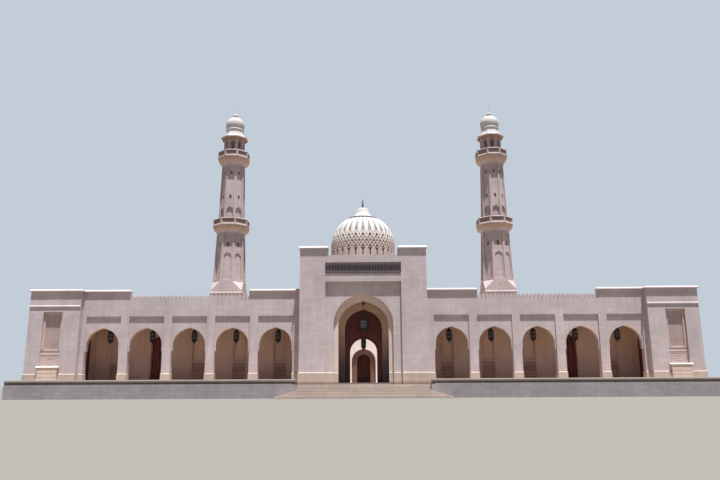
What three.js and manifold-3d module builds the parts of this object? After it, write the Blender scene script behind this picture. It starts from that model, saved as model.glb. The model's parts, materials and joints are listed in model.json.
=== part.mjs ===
// A mosque with a domed portal, arcaded wings, two minarets and a walled courtyard, as a 1:10 model.
// All sizes below are metres of the full-size building; the finished meshes are millimetres of the model.
// +X runs to the right along the front, +Y to the back, +Z up, and the ground is z = 0.

import * as THREE from 'three';
import { mergeVertices } from 'three/addons/utils/BufferGeometryUtils.js';
import Module from 'manifold-3d';

const wasm = await Module();
wasm.setup();

// Scale, and the small distances that the construction needs
const SCALE = 10;
const MM = 1000 / SCALE;
const SEAT = 0.003; // 0.3 mm on the model, between a turned or curved piece and what carries it
const SWING_GAP = 0.06; // 6 mm on the model, around a door leaf
const INTO = 0.1; // pieces of one solid reach this far into each other
const PAST = 1; // a cutting tool reaches this far past what it cuts

// Levels
const FLOOR = 1.65;
const KERB_TOP = 2.3;
const PLINTH_TOP = 3.17;
const WALL_TOP = 12.0;
const MERLON_FOOT = 12.65;
const MERLON_TOP = 13.4;
const COPING_FOOT = 13.8;
const COPING_TOP = 14.1;
const ROOF_THICK = 0.35;
const CEILING = WALL_TOP - ROOF_THICK;

// Plan
const TERRACE_FRONT = -4.5;
const ARCADE_FRONT = 0;
const ARCADE_THICK = 0.9;
const LOGGIA_BACK = 5.6;
const WALL = 0.6;
const COURT_FRONT = 12.0;
const ROOM_BACK = COURT_FRONT - WALL;
const COURT_SIDE = 35.0;
const COURT_REAR = 57.3;
const REAR_FACE = 64.0;
const SIDE_FACE = 42.95;
const PAVILION_PROUD = 0.85;
const PAVILION_WALL = 0.9;
const PAVILION_INNER = 37.1;
const PAVILION_OUTER = SIDE_FACE + PAVILION_PROUD;
const PAVILION_FRONT = ARCADE_FRONT - PAVILION_PROUD;
const PAVILION_FRONT_BACK = PAVILION_FRONT + PAVILION_WALL;
const PAVILION_DEEP = 7.05;
const PAVILION_BACK = PAVILION_FRONT + PAVILION_DEEP;
const PODIUM_MARGIN = 0.4;

// Projections of the mouldings, and how far their top edges slope back to shed rain
const COPING_OVERHANG = 0.22;
const COPING_SLOPE = 0.2;
const PLINTH_PROUD = 0.1;
const PLINTH_SLOPE = 0.12;
const BAND_ROOT = 0.4; // how deep a plinth or string course is built into its wall

// Bays of the wings
const PORTAL_HALF = 8.3;
const BAY_PITCH = 5.68;
const FIRST_BAY = 11.56;
const WING_BAYS = 5;
const PANEL_HALF = 2.3;
const PANEL_DEEP = 0.18;
const PANEL_TOP = 10.56;
const ARCH_HALF = 2.11;
const ARCH_APEX = 9.05;
const IMPOST = 6.0;
const LOWER_ARCH_HALF = 2.27;
const ARCH_SLOPE = THREE.MathUtils.degToRad(18); // slope of the two straight strokes that meet at an apex
const ARC_STEPS = 7;

// Portal block
const PORTAL_FRONT = -1.8;
const PORTAL_WALL_BACK = -0.4;
const PORTAL_TOP = 19.2;
const PORTAL_GAP_HALF = 4.56;
const PORTAL_GAP_TOP = 18.3;
const PORTAL_ROOF_TOP = 17.9;
const PORCH_BACK = 1.8;
const SCREEN_FRONT = 2.4;
const SCREEN_THICK = 0.25;
const DOORWAY_HALF = 1.8;
const DOORWAY_APEX = 7.7;

// Dome over the portal hall
const DOME_Y = 5.1;
const DOME_RADIUS = 4.53;
const DOME_SPRING = 20.84;
const DOME_THICK = 0.35;
const DOME_SIDES = 28;

// Minarets: widths are across the flats
const MINARET_X = 19.62;
const MINARET_Y = 8.5;
const BASE_WIDTH = 4.46;
const STAIR_WIDTH = 2.4;

// Flight of steps
const TREAD = 0.5;
const SIDE_TREAD = 0.48;
const STEPS = 9;
const WRAPPED_STEPS = 5;
const RISER = FLOOR / (STEPS + 1);
const LANDING_FRONT = -2.5;

// Colours
const STONE = '#c9b7b0';
const PALE_STONE = '#e6ded8';
const GREY_MARBLE = '#8f8b90';
const STEP_STONE = '#b9a794';
const LOGGIA_PLASTER = '#8a6c5e';
const TEAK = '#43201a';
const BRONZE = '#3a3234';
const IRON = '#2b2728';

// Centre of the whole plan, which becomes the origin
const STEPS_FRONT = LANDING_FRONT - STEPS * TREAD;
const REAR_PAVILION = REAR_FACE + PAVILION_PROUD;
const PODIUM_REAR = REAR_PAVILION + PODIUM_MARGIN;
const PLAN_CENTRE = (STEPS_FRONT + PODIUM_REAR) / 2;

// A closed mesh with merged corners, ready to be cut and joined
function solid(geometry) {
  geometry.deleteAttribute('normal');
  geometry.deleteAttribute('uv');
  const merged = mergeVertices(geometry, 1e-6);
  return new wasm.Manifold(new wasm.Mesh({
    numProp: 3,
    vertProperties: new Float32Array(merged.attributes.position.array),
    triVerts: new Uint32Array(merged.index.array),
  }));
}

const join = (...pieces) => pieces.flat().reduce((whole, piece) => whole.add(piece));
const cut = (body, ...tools) => tools.flat().reduce((rest, tool) => rest.subtract(tool), body);

// Pairs of limits: about a middle, on one side of the building, and widened at both ends
const about = (middle, half) => [middle - half, middle + half];
const centred = (half) => about(0, half);
const sided = (side, ...distances) => distances.map((distance) => side * distance);
const wider = ([a, b], by) => [Math.min(a, b) - by, Math.max(a, b) + by];

// A frame that stands at (x, y) and is turned by whole quarter turns about the vertical
function frameAt(x, y, quarters) {
  const cos = [1, 0, -1, 0][quarters];
  const sin = [0, 1, 0, -1][quarters];
  return new THREE.Matrix4().set(cos, -sin, 0, x, sin, cos, 0, y, 0, 0, 1, 0, 0, 0, 0, 1);
}
const WORLD = frameAt(0, 0, 0);

function placedBox(geometry, xs, ys, zs, frame) {
  const middles = [xs, ys, zs].map(([a, b]) => (a + b) / 2);
  return solid(geometry.translate(...middles).applyMatrix4(frame));
}
function box(xs, ys, zs, frame = WORLD) {
  const sizes = [xs, ys, zs].map(([a, b]) => Math.abs(b - a));
  return placedBox(new THREE.BoxGeometry(...sizes), xs, ys, zs, frame);
}

// A box whose four top edges slope back at 45 degrees
function weathered(xs, ys, zs, slope, frame = WORLD) {
  const [wide, deep, high] = [xs, ys, zs].map(([a, b]) => Math.abs(b - a));
  const geometry = new THREE.BoxGeometry(wide, deep, high, 1, 1, 2);
  const corners = geometry.attributes.position;
  for (let i = 0; i < corners.count; i += 1) {
    const z = corners.getZ(i);
    if (z === 0) corners.setZ(i, high / 2 - slope);
    if (z > 0) {
      corners.setX(i, corners.getX(i) - Math.sign(corners.getX(i)) * slope);
      corners.setY(i, corners.getY(i) - Math.sign(corners.getY(i)) * slope);
    }
  }
  return placedBox(geometry, xs, ys, zs, frame);
}

// An outline of [x, z] points, extruded from y0 to y1
function upright(points, y0, y1, frame = WORLD) {
  const outline = new THREE.Shape(points.map(([x, z]) => new THREE.Vector2(x, z)));
  const geometry = new THREE.ExtrudeGeometry(outline, { depth: y1 - y0, bevelEnabled: false });
  geometry.rotateX(Math.PI / 2);
  geometry.translate(0, y1, 0);
  return solid(geometry.applyMatrix4(frame));
}

// A level slab over an outline of [x, y] points
function slab(points, z0, z1) {
  const outline = new THREE.Shape(points.map(([x, y]) => new THREE.Vector2(x, y)));
  const geometry = new THREE.ExtrudeGeometry(outline, { depth: z1 - z0, bevelEnabled: false });
  return solid(geometry.translate(0, 0, z0));
}

// A straight or tapered prism on a regular polygon, given its widths across the flats
function tower(sides, lowWidth, highWidth, z0, z1, turn = Math.PI / sides) {
  const toCorner = 1 / (2 * Math.cos(Math.PI / sides));
  const geometry = new THREE.CylinderGeometry(highWidth * toCorner, lowWidth * toCorner, z1 - z0, sides);
  geometry.rotateX(Math.PI / 2);
  geometry.rotateZ(turn);
  return solid(geometry.translate(0, 0, (z0 + z1) / 2));
}

// A turned shape about the upright line through (x, y), from a profile of [radius, height] points
function turned(profile, segments, x = 0, y = 0) {
  const geometry = new THREE.LatheGeometry(profile.map(([r, z]) => new THREE.Vector2(r, z)), segments);
  return solid(geometry.rotateX(Math.PI / 2).translate(x, y, 0));
}

// A pointed arch: two quarter arcs that turn into straight strokes near the apex
const springOf = (half, apex) => apex - half / Math.cos(ARCH_SLOPE);
function archPoints(centre, half, foot, apex, steps) {
  const spring = springOf(half, apex);
  const sweep = Math.PI / 2 - ARCH_SLOPE;
  const right = [[half, foot]];
  for (let i = 0; i <= steps; i += 1) {
    const angle = (sweep * i) / steps;
    right.push([half * Math.cos(angle), spring + half * Math.sin(angle)]);
  }
  const left = right.slice().reverse().map(([x, z]) => [-x, z]);
  return [...right, [0, apex], ...left].map(([x, z]) => [centre + x, z]);
}
const arch = (centre, half, foot, apex, y0, y1, frame = WORLD, steps = ARC_STEPS) =>
  upright(archPoints(centre, half, foot, apex, steps), y0, y1, frame);

const mosque = new THREE.Group();

// The finished solid becomes a named mesh in millimetres of the model, centred on the plan.
// Corners snap to hundredths, so that flat faces which meet share one plane exactly.
const SNAP = 100;
const snapped = (metres) => Math.round(metres * MM * SNAP) / SNAP;
function add(name, body, colour, roughness = 0.85, metalness = 0) {
  const mesh = body.getMesh();
  const centredValue = (value, i) => (i % 3 === 1 ? value - PLAN_CENTRE : value);
  const corners = Array.from(mesh.vertProperties, (value, i) => snapped(centredValue(value, i)));
  const geometry = new THREE.BufferGeometry();
  geometry.setAttribute('position', new THREE.Float32BufferAttribute(corners, 3));
  geometry.setIndex(new THREE.BufferAttribute(new Uint32Array(mesh.triVerts), 1));
  const material = new THREE.MeshStandardMaterial({ color: colour, roughness, metalness });
  const node = new THREE.Mesh(geometry, material);
  node.name = name;
  mosque.add(node);
}

const SIDES = [['left', -1], ['right', 1]];
const bayCentres = Array.from({ length: WING_BAYS }, (_, i) => FIRST_BAY + i * BAY_PITCH);
const PODIUM_SIDE = PAVILION_OUTER + PODIUM_MARGIN;

// Podium: one mass of masonry with a notch for the flight
const podiumNotch = box(centred(PORTAL_HALF), [TERRACE_FRONT - PAST, LANDING_FRONT], [-PAST, FLOOR + PAST]);
const podiumBlock = box(centred(PODIUM_SIDE), [TERRACE_FRONT, PODIUM_REAR], [0, FLOOR]);
add('podium', cut(podiumBlock, podiumNotch), GREY_MARBLE);

// Flight: the lower treads wrap round its ends in front of the podium
function frontSteps() {
  const treads = [];
  for (let k = 1; k <= STEPS; k += 1) {
    const front = LANDING_FRONT - (STEPS + 1 - k) * TREAD;
    treads.push(box(centred(PORTAL_HALF), [front, LANDING_FRONT], [0, k * RISER]));
    if (k <= WRAPPED_STEPS) {
      const half = PORTAL_HALF + (WRAPPED_STEPS + 1 - k) * SIDE_TREAD;
      treads.push(box(centred(half), [front, TERRACE_FRONT], [0, k * RISER]));
    }
  }
  return join(treads);
}
add('front_steps', frontSteps(), STEP_STONE);

// Low kerb wall along the terrace edge, set back under a ledge that is flush with the podium's face
const KERB_SET_BACK = 0.15;
const KERB_THICK = 0.4;
const LEDGE_THICK = 0.3;
const LEDGE_PROUD = 0.02;
const LEDGE_BACK = 0.12;
const LEDGE_SLOPE = 0.13;
function terraceKerb(side) {
  const front = TERRACE_FRONT + KERB_SET_BACK;
  const back = front + KERB_THICK;
  const along = sided(side, PORTAL_HALF, PODIUM_SIDE);
  const ledgeFoot = KERB_TOP - LEDGE_THICK;
  return join(
    box(along, [front, back], [FLOOR, ledgeFoot]),
    weathered(along, [TERRACE_FRONT - LEDGE_PROUD, back + LEDGE_BACK], [ledgeFoot, KERB_TOP], LEDGE_SLOPE));
}

// Arcade wall of a wing: five arches in recessed panels, and a plinth round every pier
const PIER_PLINTH_SIDE = 0.05;
const JAMB = BAY_PITCH / 2 - LOWER_ARCH_HALF;
function arcadeWall(side) {
  const through = [ARCADE_FRONT - PAST, ARCADE_THICK + PAST];
  let wall = box(sided(side, PORTAL_HALF, PAVILION_INNER), [ARCADE_FRONT, ARCADE_THICK], [FLOOR, WALL_TOP]);
  for (const bay of bayCentres) {
    const centre = side * bay;
    wall = cut(wall,
      box(about(centre, PANEL_HALF), [ARCADE_FRONT - PAST, PANEL_DEEP], [IMPOST, PANEL_TOP]),
      arch(centre, ARCH_HALF, IMPOST - PAST, ARCH_APEX, ...through),
      box(about(centre, LOWER_ARCH_HALF), through, [FLOOR - PAST, IMPOST]));
  }
  const plinths = [];
  for (let i = 0; i <= WING_BAYS; i += 1) {
    const middle = FIRST_BAY + (i - 0.5) * BAY_PITCH;
    const inner = i === 0 ? PORTAL_HALF : middle - JAMB - PIER_PLINTH_SIDE;
    const outer = i === WING_BAYS ? PAVILION_INNER : middle + JAMB + PIER_PLINTH_SIDE;
    const across = wider([ARCADE_FRONT, ARCADE_THICK], PLINTH_PROUD);
    plinths.push(weathered(sided(side, inner, outer), across, [FLOOR, PLINTH_TOP], PLINTH_SLOPE));
  }
  return join(wall, plinths);
}

// Parapet of a wing: a row of merlons between two raised, coped stretches, and the pavilion's own parapet
const PARAPET_THICK = 0.5;
const MERLONS = 30;
const MERLON_WIDE = 0.38;
const MERLON_THICK = 0.3;
const MERLON_SHOULDER = (MERLON_FOOT + MERLON_TOP) / 2 + 0.1;
const ROW_INNER = 15.15;
const ROW_OUTER = 30.9;
function merlon(x) {
  const [left, right] = about(x, MERLON_WIDE / 2);
  const foot = MERLON_FOOT - INTO;
  return upright([
    [left, foot], [right, foot], [right, MERLON_SHOULDER], [x, MERLON_TOP], [left, MERLON_SHOULDER],
  ], ARCADE_FRONT, MERLON_THICK);
}

// A raised parapet with its coping, which overhangs on all sides or reaches just over the given limits
function copedRun(xs, ys, copingXs = wider(xs, COPING_OVERHANG), copingYs = wider(ys, COPING_OVERHANG)) {
  return join(
    box(xs, ys, [WALL_TOP, COPING_FOOT]),
    weathered(copingXs, copingYs, [COPING_FOOT, COPING_TOP], COPING_SLOPE));
}
function frontParapet(side) {
  const ys = [ARCADE_FRONT, ARCADE_FRONT + PARAPET_THICK];
  const step = (ROW_OUTER - ROW_INNER) / MERLONS;
  const row = Array.from({ length: MERLONS }, (_, i) => merlon(side * (ROW_INNER + (i + 0.5) * step)));
  const innerRun = sided(side, PORTAL_HALF, ROW_INNER);
  const outerRun = sided(side, ROW_OUTER, PAVILION_INNER + 2 * INTO);
  const outerCoping = sided(side, ROW_OUTER, PAVILION_INNER + 2 * INTO + COPING_OVERHANG);
  const cornerRun = sided(side, PAVILION_OUTER - PARAPET_THICK, PAVILION_OUTER);
  const whole = join(
    copedRun(innerRun, ys, innerRun),
    box(sided(side, ROW_INNER - INTO, ROW_OUTER + INTO), ys, [WALL_TOP, MERLON_FOOT]),
    row,
    copedRun(outerRun, ys, outerCoping),
    copedRun(sided(side, PAVILION_INNER, PAVILION_OUTER), [PAVILION_FRONT, PAVILION_FRONT + PARAPET_THICK]),
    copedRun(sided(side, PAVILION_INNER, PAVILION_INNER + PARAPET_THICK), [PAVILION_FRONT, ys[1]]),
    copedRun(cornerRun, [PAVILION_FRONT, PAVILION_BACK]),
  );
  const copingLevels = [COPING_FOOT, COPING_TOP + PAST];
  return cut(whole, box(wider(cornerRun, PAST), [PAVILION_BACK, PAVILION_BACK + PAST], copingLevels));
}

// Corner pavilion: front and outer walls with a tall niche, an upper string course and a sill block
const NICHE_X = 40.65;
const NICHE_HALF = 1.25;
const NICHE_DEEP = 0.44;
const NICHE_TOP = 11.1;
const NICHE_LEDGE = 6.28;
const NICHE_LEDGE_THICK = 0.2;
const NICHE_LEDGE_PROUD = 0.12;
const NICHE_LEDGE_SLOPE = 0.05;
const SILL_TOP = 4.1;
const SILL_THICK = 0.22;
const SILL_HALF = NICHE_HALF + 0.22;
const SILL_PROUD = 0.35;
const SILL_SLOPE = 0.18;
const STRING_FOOT = 11.75;

// Niche and trim of one pavilion face, in the frame of that face with its outer plane at y = 0
const niche = (centre, frame) =>
  box(about(centre, NICHE_HALF), [-PAST, NICHE_DEEP], [SILL_TOP, NICHE_TOP], frame);
function nicheTrim(centre, frame) {
  const sillFoot = SILL_TOP - SILL_THICK;
  const sillYs = [-SILL_PROUD, PAVILION_WALL / 2];
  const ledge = [NICHE_LEDGE - NICHE_LEDGE_THICK, NICHE_LEDGE];
  return [
    weathered(about(centre, SILL_HALF), sillYs, [sillFoot, SILL_TOP], SILL_SLOPE, frame),
    box(about(centre, NICHE_HALF), [-SILL_PROUD / 2, INTO], [FLOOR, sillFoot], frame),
    weathered(about(centre, NICHE_HALF + 2 * INTO), [NICHE_DEEP - NICHE_LEDGE_PROUD, NICHE_DEEP + 2 * INTO],
      ledge, NICHE_LEDGE_SLOPE, frame),
  ];
}

// A plinth or string course along the front and the flank of a pavilion
function pavilionBand(side, zs) {
  const outer = PAVILION_OUTER + PLINTH_PROUD;
  const front = PAVILION_FRONT - PLINTH_PROUD;
  return [
    weathered(sided(side, PAVILION_INNER, outer), [front, PAVILION_FRONT + BAND_ROOT], zs, PLINTH_SLOPE),
    weathered(sided(side, PAVILION_OUTER - BAND_ROOT, outer), [front, PAVILION_BACK], zs, PLINTH_SLOPE),
  ];
}
function pavilion(side) {
  const face = frameAt(0, PAVILION_FRONT, 0);
  const flank = side > 0 ? frameAt(PAVILION_OUTER, 0, 1) : frameAt(-PAVILION_OUTER, 0, 3);
  const flankCentre = side * (PAVILION_FRONT + PAVILION_DEEP / 2);
  const full = [FLOOR, WALL_TOP];
  const rearYs = [PAVILION_BACK - WALL, PAVILION_BACK];
  const walls = join(
    box(sided(side, PAVILION_INNER, PAVILION_OUTER), [PAVILION_FRONT, PAVILION_FRONT_BACK], full),
    box(sided(side, PAVILION_OUTER - PAVILION_WALL, PAVILION_OUTER), [PAVILION_FRONT, PAVILION_BACK], full),
    box(sided(side, PAVILION_INNER + WALL, PAVILION_OUTER), rearYs, [FLOOR, CEILING]),
    pavilionBand(side, [FLOOR, PLINTH_TOP]),
    pavilionBand(side, [STRING_FOOT, WALL_TOP]));
  const hollowed = cut(walls, niche(side * NICHE_X, face), niche(flankCentre, flank));
  return join(hollowed, nicheTrim(side * NICHE_X, face), nicheTrim(flankCentre, flank));
}

// Back wall of a loggia: a niche in each bay, and an arched doorway in the fourth
const DOOR_BAY = bayCentres[3];
const LOGGIA_DOOR_HALF = 0.93;
const LOGGIA_DOOR_APEX = 8.3;
const BACK_NICHE_HALF = 0.95;
const BACK_NICHE_DEEP = 0.3;
const BACK_NICHE_TOP = 8.4;
const backYs = [LOGGIA_BACK, LOGGIA_BACK + WALL];
function backWall(side, inner, outer, bays) {
  const wall = box(sided(side, inner, outer), backYs, [FLOOR, CEILING]);
  const niches = bays.map((bay) => box(about(side * bay, BACK_NICHE_HALF),
    [LOGGIA_BACK - PAST, LOGGIA_BACK + BACK_NICHE_DEEP], [FLOOR - PAST, BACK_NICHE_TOP]));
  return cut(wall, niches);
}
function backWallInner(side) {
  return backWall(side, PORTAL_HALF, DOOR_BAY - LOGGIA_DOOR_HALF, bayCentres.slice(0, 3));
}
function backWallOuter(side) {
  const headFoot = springOf(LOGGIA_DOOR_HALF, LOGGIA_DOOR_APEX);
  const head = cut(box(about(side * DOOR_BAY, LOGGIA_DOOR_HALF), backYs, [headFoot, CEILING]),
    arch(side * DOOR_BAY, LOGGIA_DOOR_HALF, headFoot - PAST, LOGGIA_DOOR_APEX, ...wider(backYs, PAST)));
  return join(backWall(side, DOOR_BAY + LOGGIA_DOOR_HALF, PAVILION_INNER, bayCentres.slice(4)), head);
}

// End wall of a loggia: a tall arched doorway into the pavilion
const END_DOOR_Y = (ARCADE_THICK + LOGGIA_BACK) / 2;
const END_DOOR_HALF = 1.5;
const END_DOOR_APEX = 8.5;
function endWall(side) {
  const frame = frameAt(side * (PAVILION_INNER + WALL), 0, side > 0 ? 1 : 3);
  const wall = box(sided(side, PAVILION_INNER, PAVILION_INNER + WALL),
    [PAVILION_FRONT_BACK, PAVILION_BACK], [FLOOR, CEILING]);
  const through = [-PAST, WALL + PAST];
  return cut(wall, arch(side * END_DOOR_Y, END_DOOR_HALF, FLOOR - PAST, END_DOOR_APEX, ...through, frame));
}

// Roof over a wing and its pavilion, with a hole that the minaret passes through
const roofLevels = [CEILING, WALL_TOP];
function wingRoof(side) {
  const hole = BASE_WIDTH / 2 + SEAT;
  const outline = [
    [PORTAL_HALF, ARCADE_THICK], [PAVILION_INNER, ARCADE_THICK], [PAVILION_INNER, PAVILION_FRONT_BACK],
    [PAVILION_OUTER - PAVILION_WALL, PAVILION_FRONT_BACK], [PAVILION_OUTER - PAVILION_WALL, PAVILION_BACK],
    [SIDE_FACE - WALL, PAVILION_BACK], [SIDE_FACE - WALL, ROOM_BACK], [PORTAL_HALF, ROOM_BACK],
  ];
  return cut(slab(outline.map(([along, y]) => [side * along, y]), ...roofLevels),
    box(about(side * MINARET_X, hole), about(MINARET_Y, hole), wider(roofLevels, PAST)));
}

// A hanging lantern body on a thin rod, from its tip up to a height on its carrier
const LANTERN_SIDES = 6;
const ROD_RADIUS = 0.04;
function hangingLantern(tip, profile, carrier, x, y) {
  const top = profile[profile.length - 1][1];
  const outline = profile.map(([r, z]) => [r, tip + z]);
  return turned([[0, tip], ...outline, [ROD_RADIUS, tip + top], [ROD_RADIUS, carrier], [0, carrier]],
    LANTERN_SIDES, x, y);
}
const LANTERN_Y = 2.9;
const LANTERN_TIP = 7.0;
const LANTERN_PROFILE = [[0.1, 0.2], [0.38, 0.6], [0.38, 1.5], [0.2, 1.85], [0.1, 2.1]];
const RAIL_HALF = 0.06;
const RAIL_THICK = 0.15;
const RAIL_END = 0.5;
function lanternRow(side) {
  const ends = sided(side, bayCentres[0] - RAIL_END, bayCentres[WING_BAYS - 1] + RAIL_END);
  const rail = box(ends, about(LANTERN_Y, RAIL_HALF), [CEILING - RAIL_THICK, CEILING]);
  const hook = CEILING - RAIL_THICK / 2;
  const lanterns = bayCentres.map((bay) =>
    hangingLantern(LANTERN_TIP, LANTERN_PROFILE, hook, side * bay, LANTERN_Y));
  return join(rail, lanterns);
}

for (const [name, side] of SIDES) {
  add(`terrace_kerb_${name}`, terraceKerb(side), PALE_STONE);
  add(`arcade_wall_${name}`, arcadeWall(side), STONE);
  add(`front_parapet_${name}`, frontParapet(side), STONE);
  add(`pavilion_walls_${name}`, pavilion(side), STONE);
  add(`loggia_back_wall_inner_${name}`, backWallInner(side), LOGGIA_PLASTER);
  add(`loggia_back_wall_outer_${name}`, backWallOuter(side), LOGGIA_PLASTER);
  add(`loggia_end_wall_${name}`, endWall(side), LOGGIA_PLASTER);
  add(`wing_roof_${name}`, wingRoof(side), STONE);
  add(`lantern_row_${name}`, lanternRow(side), IRON, 0.5, 0.6);
}

// Portal walls: the wall tops step down in the middle, where the dome shows
const portalOutline = [
  [-PORTAL_HALF, FLOOR], [PORTAL_HALF, FLOOR], [PORTAL_HALF, PORTAL_TOP], [PORTAL_GAP_HALF, PORTAL_TOP],
  [PORTAL_GAP_HALF, PORTAL_GAP_TOP], [-PORTAL_GAP_HALF, PORTAL_GAP_TOP], [-PORTAL_GAP_HALF, PORTAL_TOP],
  [-PORTAL_HALF, PORTAL_TOP],
];
const RECESS_HALF = 4.95;
const RECESS_TOP = 14.8;
const RECESS_DEEP = 0.4;
const ORDER_HALF = 3.86;
const ORDER_APEX = 13.3;
const ORDER_DEEP = 0.84;
const FRONT_ARCH_HALF = 3.26;
const FRONT_ARCH_APEX = 12.35;
const PORTAL_ARC_STEPS = 9;
const BELOW = FLOOR - PAST;

function portalArch(half, apex, y0, y1) {
  return arch(0, half, BELOW, apex, y0, y1, WORLD, PORTAL_ARC_STEPS);
}
function portalFrontWall() {
  const wall = upright(portalOutline, PORTAL_FRONT, PORTAL_WALL_BACK);
  const before = PORTAL_FRONT - PAST;
  const stepped = cut(wall,
    box(centred(RECESS_HALF), [before, PORTAL_FRONT + RECESS_DEEP], [BELOW, RECESS_TOP]),
    portalArch(ORDER_HALF, ORDER_APEX, before, PORTAL_FRONT + ORDER_DEEP));
  const courses = [
    [RECESS_HALF, PORTAL_HALF + PLINTH_PROUD, 0],
    [ORDER_HALF, RECESS_HALF + 2 * INTO, RECESS_DEEP],
    [FRONT_ARCH_HALF - INTO, ORDER_HALF + 2 * INTO, ORDER_DEEP],
  ];
  const plinths = SIDES.flatMap(([, side]) => courses.map(([inner, outer, deep]) =>
    weathered(sided(side, inner, outer), [PORTAL_FRONT + deep - PLINTH_PROUD, PORTAL_WALL_BACK],
      [FLOOR, PLINTH_TOP], PLINTH_SLOPE)));
  const opening = portalArch(FRONT_ARCH_HALF, FRONT_ARCH_APEX, before, PORTAL_WALL_BACK + PAST);
  return cut(join(stepped, plinths), opening);
}
add('portal_front_wall', portalFrontWall(), STONE);

const REAR_ARCH_HALF = 2.6;
const REAR_ARCH_APEX = 9.6;
const REAR_RECESS_DEEP = 0.2;
add('portal_rear_wall', cut(
  upright(portalOutline, ROOM_BACK, COURT_FRONT),
  box(centred(RECESS_HALF), [COURT_FRONT - REAR_RECESS_DEEP, COURT_FRONT + PAST], [BELOW, RECESS_TOP]),
  arch(0, REAR_ARCH_HALF, BELOW, REAR_ARCH_APEX, ROOM_BACK - PAST, COURT_FRONT + PAST),
), STONE);

// Side walls, and the copings, which end flush with the step in the wall tops
const PORTAL_INSIDE = PORTAL_HALF - WALL;
function portalCoping(side) {
  const levels = [PORTAL_TOP, PORTAL_TOP + COPING_TOP - COPING_FOOT];
  const outer = PORTAL_HALF + COPING_OVERHANG;
  const runs = [
    [PORTAL_GAP_HALF, [PORTAL_FRONT, PORTAL_WALL_BACK]],
    [PORTAL_INSIDE - COPING_OVERHANG, [PORTAL_FRONT, COURT_FRONT]],
    [PORTAL_GAP_HALF, [ROOM_BACK, COURT_FRONT]],
  ];
  return join(runs.map(([inner, ys]) =>
    weathered(sided(side, inner, outer), wider(ys, COPING_OVERHANG), levels, COPING_SLOPE)));
}
for (const [name, side] of SIDES) {
  const xs = sided(side, PORTAL_INSIDE, PORTAL_HALF);
  add(`portal_side_wall_${name}`, box(xs, [PORTAL_WALL_BACK, ROOM_BACK], [FLOOR, PORTAL_TOP]), STONE);
  add(`portal_coping_${name}`, portalCoping(side), PALE_STONE);
}

// Porch vault, the arch behind it, and the teak screen with the doorway
const PORCH_HALF = 4.4;
const PORCH_TOP = 13.6;
add('porch_vault', cut(
  box(centred(PORCH_HALF), [PORTAL_WALL_BACK, PORCH_BACK], [FLOOR, PORCH_TOP]),
  portalArch(FRONT_ARCH_HALF, FRONT_ARCH_APEX, PORTAL_WALL_BACK - PAST, PORCH_BACK + PAST),
), STONE);
const INNER_ARCH_HALF = 2.49;
const INNER_ARCH_APEX = 11.5;
const PORTAL_CEILING = PORTAL_ROOF_TOP - ROOF_THICK;
add('portal_inner_wall', cut(
  box(centred(PORTAL_INSIDE), [PORCH_BACK, SCREEN_FRONT], [FLOOR, PORTAL_CEILING]),
  portalArch(INNER_ARCH_HALF, INNER_ARCH_APEX, PORCH_BACK - PAST, SCREEN_FRONT + PAST),
), STONE);
const SCREEN_HALF = 2.9;
const SCREEN_TOP = 11.9;
const SCREEN_BACK = SCREEN_FRONT + SCREEN_THICK;
add('portal_screen', cut(
  box(centred(SCREEN_HALF), [SCREEN_FRONT, SCREEN_BACK], [FLOOR, SCREEN_TOP]),
  arch(0, DOORWAY_HALF, BELOW, DOORWAY_APEX, SCREEN_FRONT - PAST, SCREEN_BACK + PAST),
), TEAK, 0.6);

// A door leaf hangs behind its opening on a pivot post that stands on the floor. In the frame of its
// wall the wall's back face is y = 0, the leaf lies behind it, and the hinge is on the leaf's back corner.
const LEAF_THICK = 0.08;
const LEAF_LAP = 0.15; // how far a leaf reaches past the edge of its opening
const LEAF_LIFT = 0.05;
const POST_WIDTH = 0.1;
const POST_SIDES = 12;
const MEETING_GAP = 0.03;
const HINGE_BACK = SWING_GAP + LEAF_THICK;
function leafParts(hand, halfOpening, top) {
  const hinge = hand * (halfOpening + LEAF_LAP);
  const panel = box([0, -hinge + hand * MEETING_GAP], [-LEAF_THICK, 0], [FLOOR + LEAF_LIFT, top]);
  const post = tower(POST_SIDES, POST_WIDTH, POST_WIDTH, FLOOR + SEAT, top + LEAF_LIFT);
  return { hinge, body: join(panel, post) };
}

// The leaf as a world solid: hinge at (x, y), its wall turned by quarter turns
function leafAt(body, x, y, quarters) {
  const mesh = body.getMesh();
  const geometry = new THREE.BufferGeometry();
  geometry.setAttribute('position', new THREE.BufferAttribute(new Float32Array(mesh.vertProperties), 3));
  geometry.setIndex(new THREE.BufferAttribute(new Uint32Array(mesh.triVerts), 1));
  return solid(geometry.applyMatrix4(frameAt(x, y, quarters)));
}

// Portal leaves stand open, at right angles to the screen
const LEAF_ABOVE = 0.15; // how far a leaf reaches above the crown of its opening
const PORTAL_LEAF_TOP = DOORWAY_APEX + 2 * LEAF_ABOVE;
for (const [name, side] of SIDES) {
  const { hinge, body } = leafParts(side, DOORWAY_HALF, PORTAL_LEAF_TOP);
  add(`portal_leaf_${name}`, leafAt(body, hinge, SCREEN_BACK + HINGE_BACK, side > 0 ? 3 : 1), TEAK, 0.6);
}

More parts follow.
